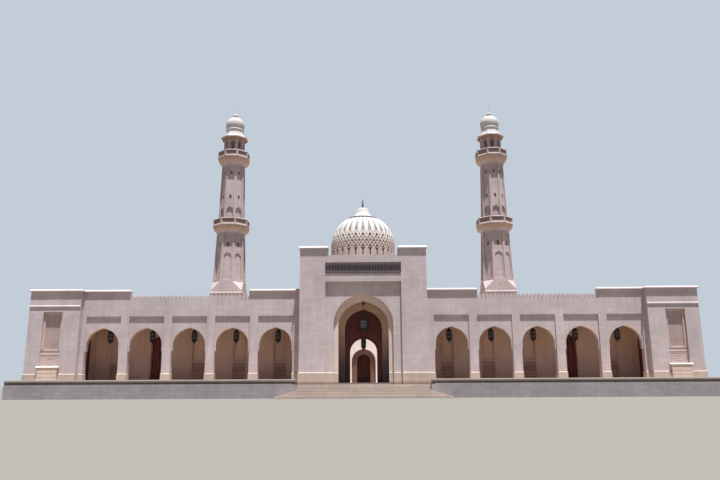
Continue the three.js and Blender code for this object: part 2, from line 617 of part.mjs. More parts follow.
// Loggia and pavilion leaves are shut: each pair meets in the middle of its doorway
for (const [name, side] of SIDES) {
  for (const [place, hand] of [['inner', -side], ['outer', side]]) {
    const { hinge, body } = leafParts(hand, LOGGIA_DOOR_HALF, LOGGIA_DOOR_APEX + LEAF_ABOVE);
    const y = LOGGIA_BACK + WALL + HINGE_BACK;
    add(`loggia_leaf_${place}_${name}`, leafAt(body, side * DOOR_BAY + hinge, y, 0), TEAK, 0.6);
  }
  for (const [place, hand] of [['front', side], ['back', -side]]) {
    const { hinge, body } = leafParts(hand, END_DOOR_HALF, END_DOOR_APEX + LEAF_ABOVE);
    const x = side * (PAVILION_INNER + WALL + HINGE_BACK);
    const leaf = leafAt(body, x, END_DOOR_Y - side * hinge, side > 0 ? 3 : 1);
    add(`pavilion_leaf_${place}_${name}`, leaf, TEAK, 0.6);
  }
}

// Big lantern in the porch, on a chain from the crown of the vault
const BIG_LANTERN_TIP = 5.8;
const BIG_LANTERN_Y = 0.6;
const BIG_LANTERN_PROFILE = [
  [0.1, 0.05], [0.15, 0.35], [0.33, 0.6], [0.35, 1.9], [0.22, 2.1],
  [0.5, 2.4], [0.7, 2.7], [0.7, 4.1], [0.4, 4.6], [0.1, 4.9],
];
const CHAIN_TOP = FRONT_ARCH_APEX - ROD_RADIUS * Math.tan(ARCH_SLOPE) - SEAT;
add('portal_lantern', hangingLantern(BIG_LANTERN_TIP, BIG_LANTERN_PROFILE, CHAIN_TOP, 0, BIG_LANTERN_Y),
  IRON, 0.5, 0.6);

// Ornamental band over the arch: two rails with a row of crossed bars
const BAND_HALF = 4.95;
const BAND_FOOT = 15.9;
const BAND_TOP = 17.3;
const BAND_THICK = 0.08;
const BAND_BAR = 0.14;
const BAND_CELLS = 7;
function ornamentBand() {
  const ys = [PORTAL_FRONT - BAND_THICK, PORTAL_FRONT];
  const cell = (2 * BAND_HALF) / BAND_CELLS;
  const half = BAND_BAR / 2;
  const [low, high] = [BAND_FOOT + half, BAND_TOP - half];
  const bar = (from, to) => upright([
    [from - half, low], [from + half, low], [to + half, high], [to - half, high],
  ], ...ys);
  const pieces = [
    box(centred(BAND_HALF), ys, [BAND_FOOT, BAND_FOOT + BAND_BAR]),
    box(centred(BAND_HALF), ys, [BAND_TOP - BAND_BAR, BAND_TOP]),
  ];
  for (let i = 0; i < BAND_CELLS; i += 1) {
    const left = -BAND_HALF + i * cell + half;
    const right = left + cell - BAND_BAR;
    pieces.push(bar(left, right), bar(right, left));
  }
  return join(pieces);
}
add('portal_band', ornamentBand(), BRONZE, 0.5, 0.6);

// Portal roof with the round hole under the dome, the dome's shell, and its cap with the finial
const DOME_HOLE = DOME_RADIUS - DOME_THICK;
function portalRoof() {
  const [low, high] = [PORTAL_CEILING - PAST, PORTAL_ROOF_TOP + PAST];
  const deck = box(centred(PORTAL_INSIDE), [PORTAL_WALL_BACK, ROOM_BACK], [PORTAL_CEILING, PORTAL_ROOF_TOP]);
  const hole = [[0, low], [DOME_HOLE, low], [DOME_HOLE, high], [0, high]];
  return cut(deck, turned(hole, DOME_SIDES, 0, DOME_Y));
}
add('portal_roof', portalRoof(), STONE);

const DOME_RINGS = 10;
const INSIDE_RINGS = 5;
function domeArc(radius, rings, fromRing = 0) {
  const points = [];
  for (let i = fromRing; i < rings; i += 1) {
    const angle = (Math.PI / 2) * (i / rings);
    points.push([radius * Math.cos(angle), DOME_SPRING + radius * Math.sin(angle)]);
  }
  return [...points, [0, DOME_SPRING + radius]];
}
add('dome', turned([
  [DOME_HOLE, PORTAL_ROOF_TOP], [DOME_RADIUS, PORTAL_ROOF_TOP], ...domeArc(DOME_RADIUS, DOME_RINGS),
  ...domeArc(DOME_HOLE, INSIDE_RINGS).reverse(), [DOME_HOLE, PORTAL_ROOF_TOP],
], DOME_SIDES, 0, DOME_Y), PALE_STONE);

const CAP_RING = 8;
const CAP_EDGE = 0.25;
const CAP_TOP_RADIUS = 0.72;
const CAP_TOP = 26.64;
const KNOB = [[0.1, 26.74], [0.18, 26.99], [0.06, 27.24]];
const FINIAL_TOP = 27.97;
const capFoot = domeArc(DOME_RADIUS + SEAT, DOME_RINGS, CAP_RING).reverse();
const [capRadius, capSeat] = capFoot[capFoot.length - 1];
add('dome_finial', turned([
  ...capFoot, [capRadius, capSeat + CAP_EDGE], [CAP_TOP_RADIUS, CAP_TOP], ...KNOB, [0, FINIAL_TOP],
], DOME_SIDES, 0, DOME_Y), PALE_STONE);

// Minaret: a square base and two eight-sided shafts, whose faces are panels between corner pilasters
const OCTAGON = 8;
const octagon = (low, high, z0, z1) => tower(OCTAGON, low, high, z0, z1);
const LEDGE_FOOT = 14.4;
const LEDGE_TOP = 14.65;
const BROACH_FOOT = 14.85;
const SHAFT_WALL = 0.4;
const SHAFT_ARC_STEPS = 3;
const PANEL_CUT = 0.12;
const PILASTER_HALF = 0.18;
const PANEL_MARGIN = 0.3; // plain masonry under and over the panels
const DECK_SLOPE = 0.1;
const lowerStage = {
  foot: 16.15, top: 23.5, footWidth: BASE_WIDTH, topWidth: 3.86,
  slab: 24.45, deck: 24.75, rail: 25.6, deckWidth: 5.12,
  archHalf: 0.53, archFoot: 16.6, archApex: 20.45, archCut: 0.24,
  slitHalf: 0.18, slits: [[21.35, 22.05]],
};
const upperStage = {
  foot: lowerStage.deck, top: 34.0, footWidth: 3.7, topWidth: 3.2,
  slab: 35.1, deck: 35.35, rail: 36.07, deckWidth: 4.45,
  archHalf: 0.47, archFoot: lowerStage.deck + 0.1, archApex: 27.4, archCut: 0.3,
  slitHalf: 0.16, slits: [[28.65, 29.25], [32.5, 33.0]],
};

// One face of a tapered shaft: its plane is y = 0, leaning with the face, and heights count from the foot
function faceFrame(stage, face) {
  const lean = Math.atan((stage.footWidth - stage.topWidth) / 2 / (stage.top - stage.foot));
  return new THREE.Matrix4().makeRotationZ((face * 2 * Math.PI) / OCTAGON)
    .multiply(new THREE.Matrix4().makeTranslation(0, -stage.footWidth / 2, stage.foot))
    .multiply(new THREE.Matrix4().makeRotationX(-lean));
}

// The panel, the blind arch and the slits of one face, as tools that cut it
function faceTools(stage, face) {
  const frame = faceFrame(stage, face);
  const height = stage.top - stage.foot;
  const halfAt = (width) => (width / 2) * Math.tan(Math.PI / OCTAGON) - PILASTER_HALF;
  const [low, high] = [halfAt(stage.footWidth), halfAt(stage.topWidth)];
  const [foot, head] = [PANEL_MARGIN, height - PANEL_MARGIN];
  const slits = stage.slits.map((levels) =>
    box(centred(stage.slitHalf), [-PAST, PAST], levels.map((z) => z - stage.foot), frame));
  const [archFoot, archApex] = [stage.archFoot - stage.foot, stage.archApex - stage.foot];
  return [
    upright([[-low, foot], [low, foot], [high, head], [-high, head]], -PAST, PANEL_CUT, frame),
    arch(0, stage.archHalf, archFoot, archApex, -PAST, stage.archCut, frame, SHAFT_ARC_STEPS),
    ...slits,
  ];
}

// Bowl-shaped corbel that carries a balcony, in a steep and a flat slope
const BOWL_RISE = 0.4;
const BOWL_FLARE = 0.72;
const BOWL_INSET = 0.09;
function corbel(stage) {
  const head = stage.deckWidth - 2 * BOWL_INSET;
  const knee = stage.topWidth + (head - stage.topWidth) * BOWL_FLARE;
  const kneeLevel = stage.top + (stage.slab - stage.top) * BOWL_RISE;
  return join(
    octagon(stage.topWidth, knee, stage.top, kneeLevel),
    octagon(knee, head, kneeLevel, stage.slab));
}
function shaft(stage, base) {
  const inside = stage.topWidth - 2 * SHAFT_WALL;
  const body = join(base, octagon(stage.footWidth, stage.topWidth, stage.foot, stage.top), corbel(stage));
  const tools = Array.from({ length: OCTAGON }, (_, face) => faceTools(stage, face)).flat();
  return cut(body, octagon(inside, inside, BELOW, stage.slab + PAST), tools);
}

// The base turns from a square into the octagon under sloping triangles, above a projecting ledge
const LEDGE_OUT = 0.1;
function minaretBase() {
  const half = BASE_WIDTH / 2;
  const ledge = half + LEDGE_OUT;
  const diagonal = 2 * Math.SQRT2 * half;
  const broach = box(centred(half), centred(half), [BROACH_FOOT, lowerStage.foot])
    .intersect(tower(4, diagonal, BASE_WIDTH, BROACH_FOOT, lowerStage.foot, 0));
  return join(
    box(centred(half), centred(half), [FLOOR, BROACH_FOOT]),
    weathered(centred(ledge), centred(ledge), [LEDGE_FOOT, LEDGE_TOP], PLINTH_SLOPE),
    broach);
}

const PARAPET_INSET = 0.1;
const BALCONY_WALL = 0.12;
function balcony({ deckWidth, slab: foot, deck, rail }) {
  const edge = deck - DECK_SLOPE;
  const outer = deckWidth - 2 * PARAPET_INSET;
  const inner = outer - 2 * BALCONY_WALL;
  const body = join(
    octagon(deckWidth, deckWidth, foot, edge),
    octagon(deckWidth, deckWidth - 2 * DECK_SLOPE, edge, deck),
    octagon(outer, outer, edge, rail));
  return cut(body,
    octagon(inner, inner, deck, rail + PAST),
    octagon(STAIR_WIDTH, STAIR_WIDTH, foot - PAST, rail + PAST));
}

// Lantern room: arched openings, a flaring eave, and a stilted dome with a needle
const ROOM_WIDTH = 2.78;
const ROOM_WALL = 0.28;
const ROOM_FOOT = upperStage.deck;
const ROOM_TOP = 37.95;
const ROOM_SILL = 0.25;
const ROOM_ARCH_HALF = 0.3;
const ROOM_ARCH_APEX = 37.85;
const EAVE = [[ROOM_WIDTH, ROOM_TOP], [4.1, 38.35], [4.1, 38.48], [3.4, 38.78], [2.85, 39.5], [2.85, 39.75]];
const DRUM_TOP = 39.9;
const DRUM_WIDTH = 2.95;
const CROWN_RADIUS = 1.42;
const CROWN_SPRING = 41.1;
const CROWN_TOP = 42.22;
const CROWN_RINGS = 5;
const CROWN_SIDES = 16;
const NEEDLE = [[0.38, 42.3], [0.3, 42.6], [0.1, 42.77], [0.14, 43.05], [0.05, 43.25]];
const NEEDLE_TOP = 44.13;
function crown() {
  const rise = CROWN_TOP - CROWN_SPRING;
  const curve = [];
  for (let i = 0; i < CROWN_RINGS; i += 1) {
    const angle = (Math.PI / 2) * (i / CROWN_RINGS);
    curve.push([CROWN_RADIUS * Math.cos(angle), CROWN_SPRING + rise * Math.sin(angle)]);
  }
  const foot = DRUM_TOP - INTO;
  return turned([[0, foot], [CROWN_RADIUS, foot], ...curve, ...NEEDLE, [0, NEEDLE_TOP]], CROWN_SIDES);
}
function lanternRoom() {
  const inside = ROOM_WIDTH - 2 * ROOM_WALL;
  const straight = { footWidth: ROOM_WIDTH, topWidth: ROOM_WIDTH, foot: 0, top: ROOM_TOP };
  const through = [-PAST, ROOM_WIDTH + PAST];
  const sill = ROOM_FOOT + ROOM_SILL;
  const openings = Array.from({ length: OCTAGON / 2 }, (_, face) =>
    arch(0, ROOM_ARCH_HALF, sill, ROOM_ARCH_APEX, ...through, faceFrame(straight, face), SHAFT_ARC_STEPS));
  const room = cut(octagon(ROOM_WIDTH, ROOM_WIDTH, ROOM_FOOT, ROOM_TOP),
    octagon(inside, inside, ROOM_FOOT - PAST, ROOM_TOP + PAST), openings);
  const eave = EAVE.slice(1).map(([width, level], i) => octagon(EAVE[i][0], width, EAVE[i][1], level));
  const drumFoot = EAVE[EAVE.length - 1][1];
  return join(room, eave, octagon(DRUM_WIDTH, DRUM_WIDTH, drumFoot, DRUM_TOP), crown());
}

const minaretPieces = [
  ['lower_shaft', shaft(lowerStage, minaretBase())],
  ['lower_balcony', balcony(lowerStage)],
  ['upper_shaft', shaft(upperStage, [])],
  ['upper_balcony', balcony(upperStage)],
  ['lantern_room', lanternRoom()],
];
for (const [name, side] of SIDES) {
  for (const [piece, body] of minaretPieces) {
    add(`minaret_${piece}_${name}`, body.translate([side * MINARET_X, MINARET_Y, 0]), STONE);
  }
}

// Outer walls of the side and rear ranges, with blind arcades like the wings' bays
const SIDE_BAYS = 9;
const REAR_BAYS = 13;
const CORNER_FRONT = 57.8;
const BLIND_DEEP = 0.36;
const BLIND_ARC_STEPS = 3;
const SIDE_MIDDLE = (PAVILION_BACK + CORNER_FRONT) / 2;
const evenBays = (count, middle) =>
  Array.from({ length: count }, (_, i) => middle + (i - (count - 1) / 2) * BAY_PITCH);
function blindBays(count, middle, frame) {
  return evenBays(count, middle).flatMap((centre) => [
    box(about(centre, PANEL_HALF), [-PAST, PANEL_DEEP], [PLINTH_TOP, PANEL_TOP], frame),
    arch(centre, ARCH_HALF, PLINTH_TOP, ARCH_APEX, -PAST, BLIND_DEEP, frame, BLIND_ARC_STEPS),
  ]);
}

// Walls and plinths of one side, up to the corner block at the rear
function outerSide(side) {
  const full = [FLOOR, WALL_TOP];
  const low = [FLOOR, PLINTH_TOP];
  const plinthed = PAVILION_OUTER + PLINTH_PROUD;
  return [
    box(sided(side, SIDE_FACE - WALL, SIDE_FACE), [PAVILION_BACK, REAR_FACE], full),
    box(sided(side, SIDE_FACE - INTO, SIDE_FACE + PLINTH_PROUD), [PAVILION_BACK, CORNER_FRONT], low),
    box(sided(side, SIDE_FACE - WALL, PAVILION_OUTER), [CORNER_FRONT, REAR_PAVILION], full),
    box(sided(side, PAVILION_INNER, PAVILION_OUTER), [REAR_FACE - WALL, REAR_PAVILION], full),
    box(sided(side, PAVILION_OUTER - INTO, plinthed), [CORNER_FRONT, REAR_PAVILION + PLINTH_PROUD], low),
    box(sided(side, PAVILION_INNER, plinthed), [REAR_PAVILION - INTO, REAR_PAVILION + PLINTH_PROUD], low),
  ];
}
function outerWall() {
  const rear = [
    box(centred(PAVILION_INNER + PAST), [REAR_FACE - WALL, REAR_FACE], [FLOOR, WALL_TOP]),
    box(centred(PAVILION_INNER), [REAR_FACE - INTO, REAR_FACE + PLINTH_PROUD], [FLOOR, PLINTH_TOP]),
  ];
  const hall = [CORNER_FRONT - PAST, REAR_FACE - WALL];
  const inside = box(centred(SIDE_FACE - WALL), hall, wider([FLOOR, WALL_TOP], PAST));
  return cut(join(rear, SIDES.map(([, side]) => outerSide(side)).flat()), inside,
    blindBays(SIDE_BAYS, SIDE_MIDDLE, frameAt(SIDE_FACE, 0, 1)),
    blindBays(SIDE_BAYS, -SIDE_MIDDLE, frameAt(-SIDE_FACE, 0, 3)),
    blindBays(REAR_BAYS, 0, frameAt(0, REAR_FACE, 2)));
}
add('outer_wall', outerWall(), STONE);

// The parapet keeps a plain coping's height all round the side and rear ranges
function outerParapet() {
  const t = PARAPET_THICK;
  const sideRuns = SIDES.flatMap(([, side]) => [
    copedRun(sided(side, SIDE_FACE - t, SIDE_FACE), [PAVILION_BACK, CORNER_FRONT + t]),
    copedRun(sided(side, SIDE_FACE - t, PAVILION_OUTER), [CORNER_FRONT, CORNER_FRONT + t]),
    copedRun(sided(side, PAVILION_OUTER - t, PAVILION_OUTER), [CORNER_FRONT, REAR_PAVILION]),
    copedRun(sided(side, PAVILION_INNER, PAVILION_OUTER), [REAR_PAVILION - t, REAR_PAVILION]),
    copedRun(sided(side, PAVILION_INNER, PAVILION_INNER + t), [REAR_FACE - t, REAR_PAVILION]),
  ]);
  const rearRun = copedRun(centred(PAVILION_INNER + 2 * INTO), [REAR_FACE - t, REAR_FACE]);
  const before = box(centred(PAVILION_OUTER + PAST), [PAVILION_BACK - PAST, PAVILION_BACK],
    [WALL_TOP - PAST, COPING_TOP + PAST]);
  return cut(join(sideRuns, rearRun), before);
}
add('outer_parapet', outerParapet(), STONE);

// Courtyard walls on all four sides, with plain recessed panels and the arched doorway of the hall
const HALL_ARCH_HALF = 2.58;
const HALL_ARCH_APEX = 9.25;
const COURT_TOP = 12.65;
const COURT_PANELS = 7;
const courtPanel = (centre, frame) =>
  box(about(centre, PANEL_HALF), [-PAST, PANEL_DEEP], [PLINTH_TOP, PANEL_TOP], frame);
function courtWall() {
  const full = [FLOOR, COURT_TOP];
  const outer = COURT_SIDE + WALL;
  const rear = box(centred(outer), [COURT_REAR, COURT_REAR + WALL], full);
  const walls = SIDES.flatMap(([, side]) => [
    box(sided(side, PORTAL_HALF, outer), [ROOM_BACK, COURT_FRONT], full),
    box(sided(side, COURT_SIDE, outer), [ROOM_BACK, COURT_REAR + WALL], full),
  ]);
  const across = bayCentres.slice(0, 4).flatMap((x) => [-x, x]);
  const along = evenBays(COURT_PANELS, (COURT_FRONT + COURT_REAR) / 2);
  return cut(join(rear, walls),
    across.map((x) => courtPanel(x, frameAt(0, COURT_FRONT, 2))),
    across.map((x) => courtPanel(x, frameAt(0, COURT_REAR, 0))),
    along.map((y) => courtPanel(-y, frameAt(COURT_SIDE, 0, 3))),
    along.map((y) => courtPanel(y, frameAt(-COURT_SIDE, 0, 1))),
    arch(0, HALL_ARCH_HALF, BELOW, HALL_ARCH_APEX, COURT_REAR - PAST, COURT_REAR + WALL + PAST));
}
add('court_wall', courtWall(), PALE_STONE);

const HALL_SCREEN_HALF = 2.9;
const HALL_SCREEN_TOP = 9.8;
const HALL_DOOR_HALF = 1.45;
const HALL_DOOR_APEX = 8.07;
const hallScreenYs = [COURT_REAR + WALL, COURT_REAR + WALL + SCREEN_THICK];
add('hall_door_screen', cut(
  box(centred(HALL_SCREEN_HALF), hallScreenYs, [FLOOR, HALL_SCREEN_TOP]),
  arch(0, HALL_DOOR_HALF, BELOW, HALL_DOOR_APEX, ...wider(hallScreenYs, PAST)),
), STONE);

const rangeInner = COURT_SIDE + WALL;
const rangeOuter = SIDE_FACE - WALL;
add('court_range_roof', join(
  box(centred(rangeOuter), [COURT_REAR + WALL, REAR_FACE - WALL], roofLevels),
  SIDES.map(([, side]) =>
    box(sided(side, rangeInner, rangeOuter), [ROOM_BACK, REAR_FACE - WALL], roofLevels)),
), STONE);

export default mosque;
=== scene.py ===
# %% [markdown]
# # A mosque in cells
# This file dresses a 1:10 model of a mosque: a domed portal block, two arcaded wings, two minarets and a
# walled court. The solids already stand where they belong. Here they get stone, timber, bronze and glass,
# and the finer work that a carver, a joiner and a metalworker would add.
#
# The first cell loads the solids, bakes their placement into their meshes, and gives helpers that read a
# solid's box and the bounds of the whole model.

# %% Load the imported model
import json
import math

import bmesh
import bpy
from mathutils import Matrix, Vector


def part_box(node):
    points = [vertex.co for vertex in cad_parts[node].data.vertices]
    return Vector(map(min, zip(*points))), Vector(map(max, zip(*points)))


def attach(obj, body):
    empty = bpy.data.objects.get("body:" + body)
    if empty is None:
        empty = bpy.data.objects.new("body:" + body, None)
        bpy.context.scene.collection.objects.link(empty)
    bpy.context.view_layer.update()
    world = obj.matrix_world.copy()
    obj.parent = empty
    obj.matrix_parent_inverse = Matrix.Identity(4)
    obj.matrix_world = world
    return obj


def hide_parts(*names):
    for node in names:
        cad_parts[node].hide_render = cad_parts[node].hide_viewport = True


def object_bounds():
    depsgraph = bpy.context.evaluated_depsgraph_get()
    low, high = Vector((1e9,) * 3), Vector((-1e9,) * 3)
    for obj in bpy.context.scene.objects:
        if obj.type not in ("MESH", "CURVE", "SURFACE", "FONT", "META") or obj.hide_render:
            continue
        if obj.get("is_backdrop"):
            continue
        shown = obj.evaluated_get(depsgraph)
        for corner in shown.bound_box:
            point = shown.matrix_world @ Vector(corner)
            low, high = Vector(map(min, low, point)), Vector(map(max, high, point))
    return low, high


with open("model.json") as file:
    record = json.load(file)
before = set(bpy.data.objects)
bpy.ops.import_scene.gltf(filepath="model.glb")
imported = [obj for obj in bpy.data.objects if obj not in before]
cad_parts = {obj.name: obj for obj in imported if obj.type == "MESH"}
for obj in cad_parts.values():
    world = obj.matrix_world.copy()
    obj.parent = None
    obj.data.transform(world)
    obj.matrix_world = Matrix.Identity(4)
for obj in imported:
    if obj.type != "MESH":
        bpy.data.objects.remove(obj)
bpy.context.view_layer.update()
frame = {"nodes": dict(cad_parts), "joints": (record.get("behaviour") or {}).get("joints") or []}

# %% [markdown]
# ## One ruler for the whole file
# A building is easier to read in its own metres than in a model's millimetres. So every size below is a real
# size, with x to the right, y back from the arcade's face and z up from the ground. One matrix turns them
# into the model's frame, and `mm` gives the shaders a real size in the model's own unit.

# %% Real metres and the model's frame
SCALE = 0.1
PLAN_CENTRE = 29.125  # from the arcade's face back to the middle of the plan
SIDES = (("left", -1), ("right", 1))


def mm(size):
    """Millimetres on the real building, as the shaders' own unit."""
    return size / 1000 * SCALE


def moved(x, y=0, z=0):
    """The matrix of a move."""
    return Matrix.Translation((x, y, z))


def turned(angle):
    """The matrix of a turn about the upright."""
    return Matrix.Rotation(angle, 4, "Z")


TO_MODEL = Matrix.Scale(SCALE, 4) @ moved(0, -PLAN_CENTRE)
TO_REAL = TO_MODEL.inverted()

# %% [markdown]
# ## Camera
# The picture was taken on the building's axis with a phone-like lens, tilted up a little. Focal length, tilt
# and distance come from the vanishing lines and the known heights. The axis shows just right of the
# picture's middle, which is a small turn, and the level lines climb slightly, which is a small roll.

# %% Set up the camera
PICTURE_WIDE, FOCAL_PIXELS, SENSOR = 720, 655, 36
EYE = Vector((0, -86.5, 1.6))
TILT, TURN, ROLL = (math.radians(v) for v in (12.45, 0.262, -0.3))

camera = bpy.data.objects.new("camera", bpy.data.cameras.new("camera"))
camera.data.sensor_width = SENSOR
camera.data.lens = SENSOR * FOCAL_PIXELS / PICTURE_WIDE
camera.data.clip_end = 500
aim = turned(TURN) @ Matrix.Rotation(math.pi / 2 + TILT, 4, "X") @ turned(ROLL)
camera.matrix_world = moved(*(TO_MODEL @ EYE)) @ aim
bpy.context.scene.collection.objects.link(camera)
bpy.context.scene.camera = camera
print("lens", round(camera.data.lens, 2), "mm, eye at", [round(v, 3) for v in camera.location])

# %% [markdown]
# ## Colour and one node helper
# Colours are picked as they look on a screen, which is sRGB, while a shader counts light, which is linear.
# `linear` makes the change. `add` puts in any shader or geometry node with its settings and links in one
# call, so that a material reads as a short list of what it does.

# %% Colour and node helpers
def linear(code):
    """An sRGB hex colour as a linear colour with alpha."""
    parts = [int(code[i:i + 2], 16) / 255 for i in (1, 3, 5)]
    return [v / 12.92 if v <= 0.04045 else ((v + 0.055) / 1.055) ** 2.4 for v in parts] + [1.0]


def add(tree, kind, inputs=None, **settings):
    """Adds a node; an input gets a value, a link from a socket, or a link from a node's first output."""
    node = tree.nodes.new(kind)
    for name, value in settings.items():
        setattr(node, name, value)
    for key, value in (inputs or {}).items():
        if isinstance(value, bpy.types.Node):
            value = value.outputs[0]
        if isinstance(value, bpy.types.NodeSocket):
            tree.links.new(value, node.inputs[key])
        else:
            node.inputs[key].default_value = value
    return node


def new_material(name):
    """An empty material with its output, and the shader that the rest is linked to."""
    material = bpy.data.materials.new(name)
    material.use_nodes = True
    tree = material.node_tree
    tree.nodes.clear()
    shader = add(tree, "ShaderNodeBsdfPrincipled")
    add(tree, "ShaderNodeOutputMaterial", {"Surface": shader})
    return material, tree, shader


# %% [markdown]
# ## Light and floor
# The sun stood almost overhead and a little in front, which the long shadows under the copings give away.
# A sun lamp with a small disc keeps those shadows and a soft pale sky fills them. What the camera sees of the
# sky is a paler backdrop, as in a studio. The floor is only a stage and no part of the model.

# %% Set up light and floor
TO_SUN = Vector((0.088, -0.198, 0.976))
sun = bpy.data.objects.new("sun", bpy.data.lights.new("sun", "SUN"))
sun.data.energy = 7.9
sun.data.angle = math.radians(1.0)
sun.data.color = linear("#fffdfb")[:3]
sun.rotation_euler = TO_SUN.to_track_quat("Z", "Y").to_euler()
bpy.context.scene.collection.objects.link(sun)

world = bpy.data.worlds.new("studio")
world.use_nodes = True
sky = world.node_tree
sky.nodes.clear()
soft_box = add(sky, "ShaderNodeBackground", {"Color": linear("#e1d9de"), "Strength": 0.36})
backdrop = add(sky, "ShaderNodeBackground", {"Color": linear("#c3cdd8"), "Strength": 1})
seen = add(sky, "ShaderNodeLightPath").outputs["Is Camera Ray"]
both = add(sky, "ShaderNodeMixShader", {0: seen, 1: soft_box, 2: backdrop})
add(sky, "ShaderNodeOutputWorld", {"Surface": both})
bpy.context.scene.world = world
bpy.context.scene.view_settings.view_transform = "Standard"

FLOOR_HALF = 60
floor_mesh = bpy.data.meshes.new("studio_floor")
ends = ((-1, -1), (1, -1), (1, 1), (-1, 1))
floor_mesh.from_pydata([(x * FLOOR_HALF, y * FLOOR_HALF, 0) for x, y in ends], [], [(0, 1, 2, 3)])
studio_floor = bpy.data.objects.new("studio_floor", floor_mesh)
bpy.context.scene.collection.objects.link(studio_floor)
studio_floor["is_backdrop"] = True
floor_paint, tree, shader = new_material("studio_floor_paint")
shader.inputs["Base Color"].default_value = linear("#787672")
shader.inputs["Roughness"].default_value = 0.95
floor_mesh.materials.append(floor_paint)
print("sun", sun.data.energy, "sky", soft_box.inputs["Strength"].default_value)

# %% [markdown]
# ## Stone laid in courses
# The walls are faced with honed limestone blocks. A block pattern on plain x and z would smear on every side
# wall, so the pattern's own axes follow the way each face looks: the first runs level along the face, the
# second runs up it, and on a level face the two are simply x and y.
#
# On top of the blocks come three things that an eye expects of real stone: a small change of tone from
# block to block, broad clouds where rain has washed and dust has settled, and a fine grain. Joints on the
# real wall are some 5 mm wide and would vanish in a picture, so they are drawn wider.

# %% Coordinates that follow each wall, and steps of painting
LEVEL_FACE = 0.8  # a face whose normal points up by more than this counts as level


def wall_coordinates(tree):
    """The place, a level and an upright distance on every face, the height, and how far the face looks up."""
    place = add(tree, "ShaderNodeTexCoord")
    facing, here = place.outputs["Normal"], place.outputs["Object"]
    level_line = add(tree, "ShaderNodeVectorMath", {0: (0, 0, 1), 1: facing}, operation="CROSS_PRODUCT")
    along = add(tree, "ShaderNodeVectorMath", {0: here, 1: level_line}, operation="DOT_PRODUCT")
    height = add(tree, "ShaderNodeSeparateXYZ", {0: here}).outputs[2]
    upright = add(tree, "ShaderNodeCombineXYZ", {0: along.outputs["Value"], 1: height})
    rise = add(tree, "ShaderNodeSeparateXYZ", {0: facing}).outputs[2]
    lean = add(tree, "ShaderNodeMath", {0: rise}, operation="ABSOLUTE")
    level = add(tree, "ShaderNodeMath", {0: lean, 1: LEVEL_FACE}, operation="GREATER_THAN")
    chosen = add(tree, "ShaderNodeMix", {0: level, 4: upright, 5: here}, data_type="VECTOR")
    return here, chosen.outputs[1], height, rise


def tinted(tree, colour, tone, value, none, full):
    """Lays a tone over a colour: nothing where the value is at `none`, all of it at `full`."""
    share = add(tree, "ShaderNodeMapRange", {0: value, 1: none, 2: full})
    return add(tree, "ShaderNodeMix", {0: share, 6: colour, 7: tone}, data_type="RGBA").outputs[2]


def mottled(tree, colour, noise, low, high):
    """Darkens and lightens a colour as a noise runs through the middle of its range."""
    shade = add(tree, "ShaderNodeMapRange", {0: noise, 1: 0.3, 2: 0.7, 3: low, 4: high})
    return add(tree, "ShaderNodeMix", {0: 1.0, 6: colour, 7: shade}, data_type="RGBA",
               blend_type="MULTIPLY").outputs[2]


def surface(tree, shader, colour, gloss, low, high, strength, depth, relief):
    """Links a colour, a roughness that follows `gloss` from low to high, and a bump."""
    rough = add(tree, "ShaderNodeMapRange", {0: gloss, 1: 0.3, 2: 0.7, 3: low, 4: high})
    bump = add(tree, "ShaderNodeBump", {"Strength": strength, "Distance": mm(depth), "Height": relief})
    tree.links.new(colour, shader.inputs["Base Color"])
    tree.links.new(rough.outputs[0], shader.inputs["Roughness"])
    tree.links.new(bump.outputs[0], shader.inputs["Normal"])


# %% Honed stone, the base of every masonry finish
SEAMLESS = (90000, 90000)  # blocks so large that no joint shows


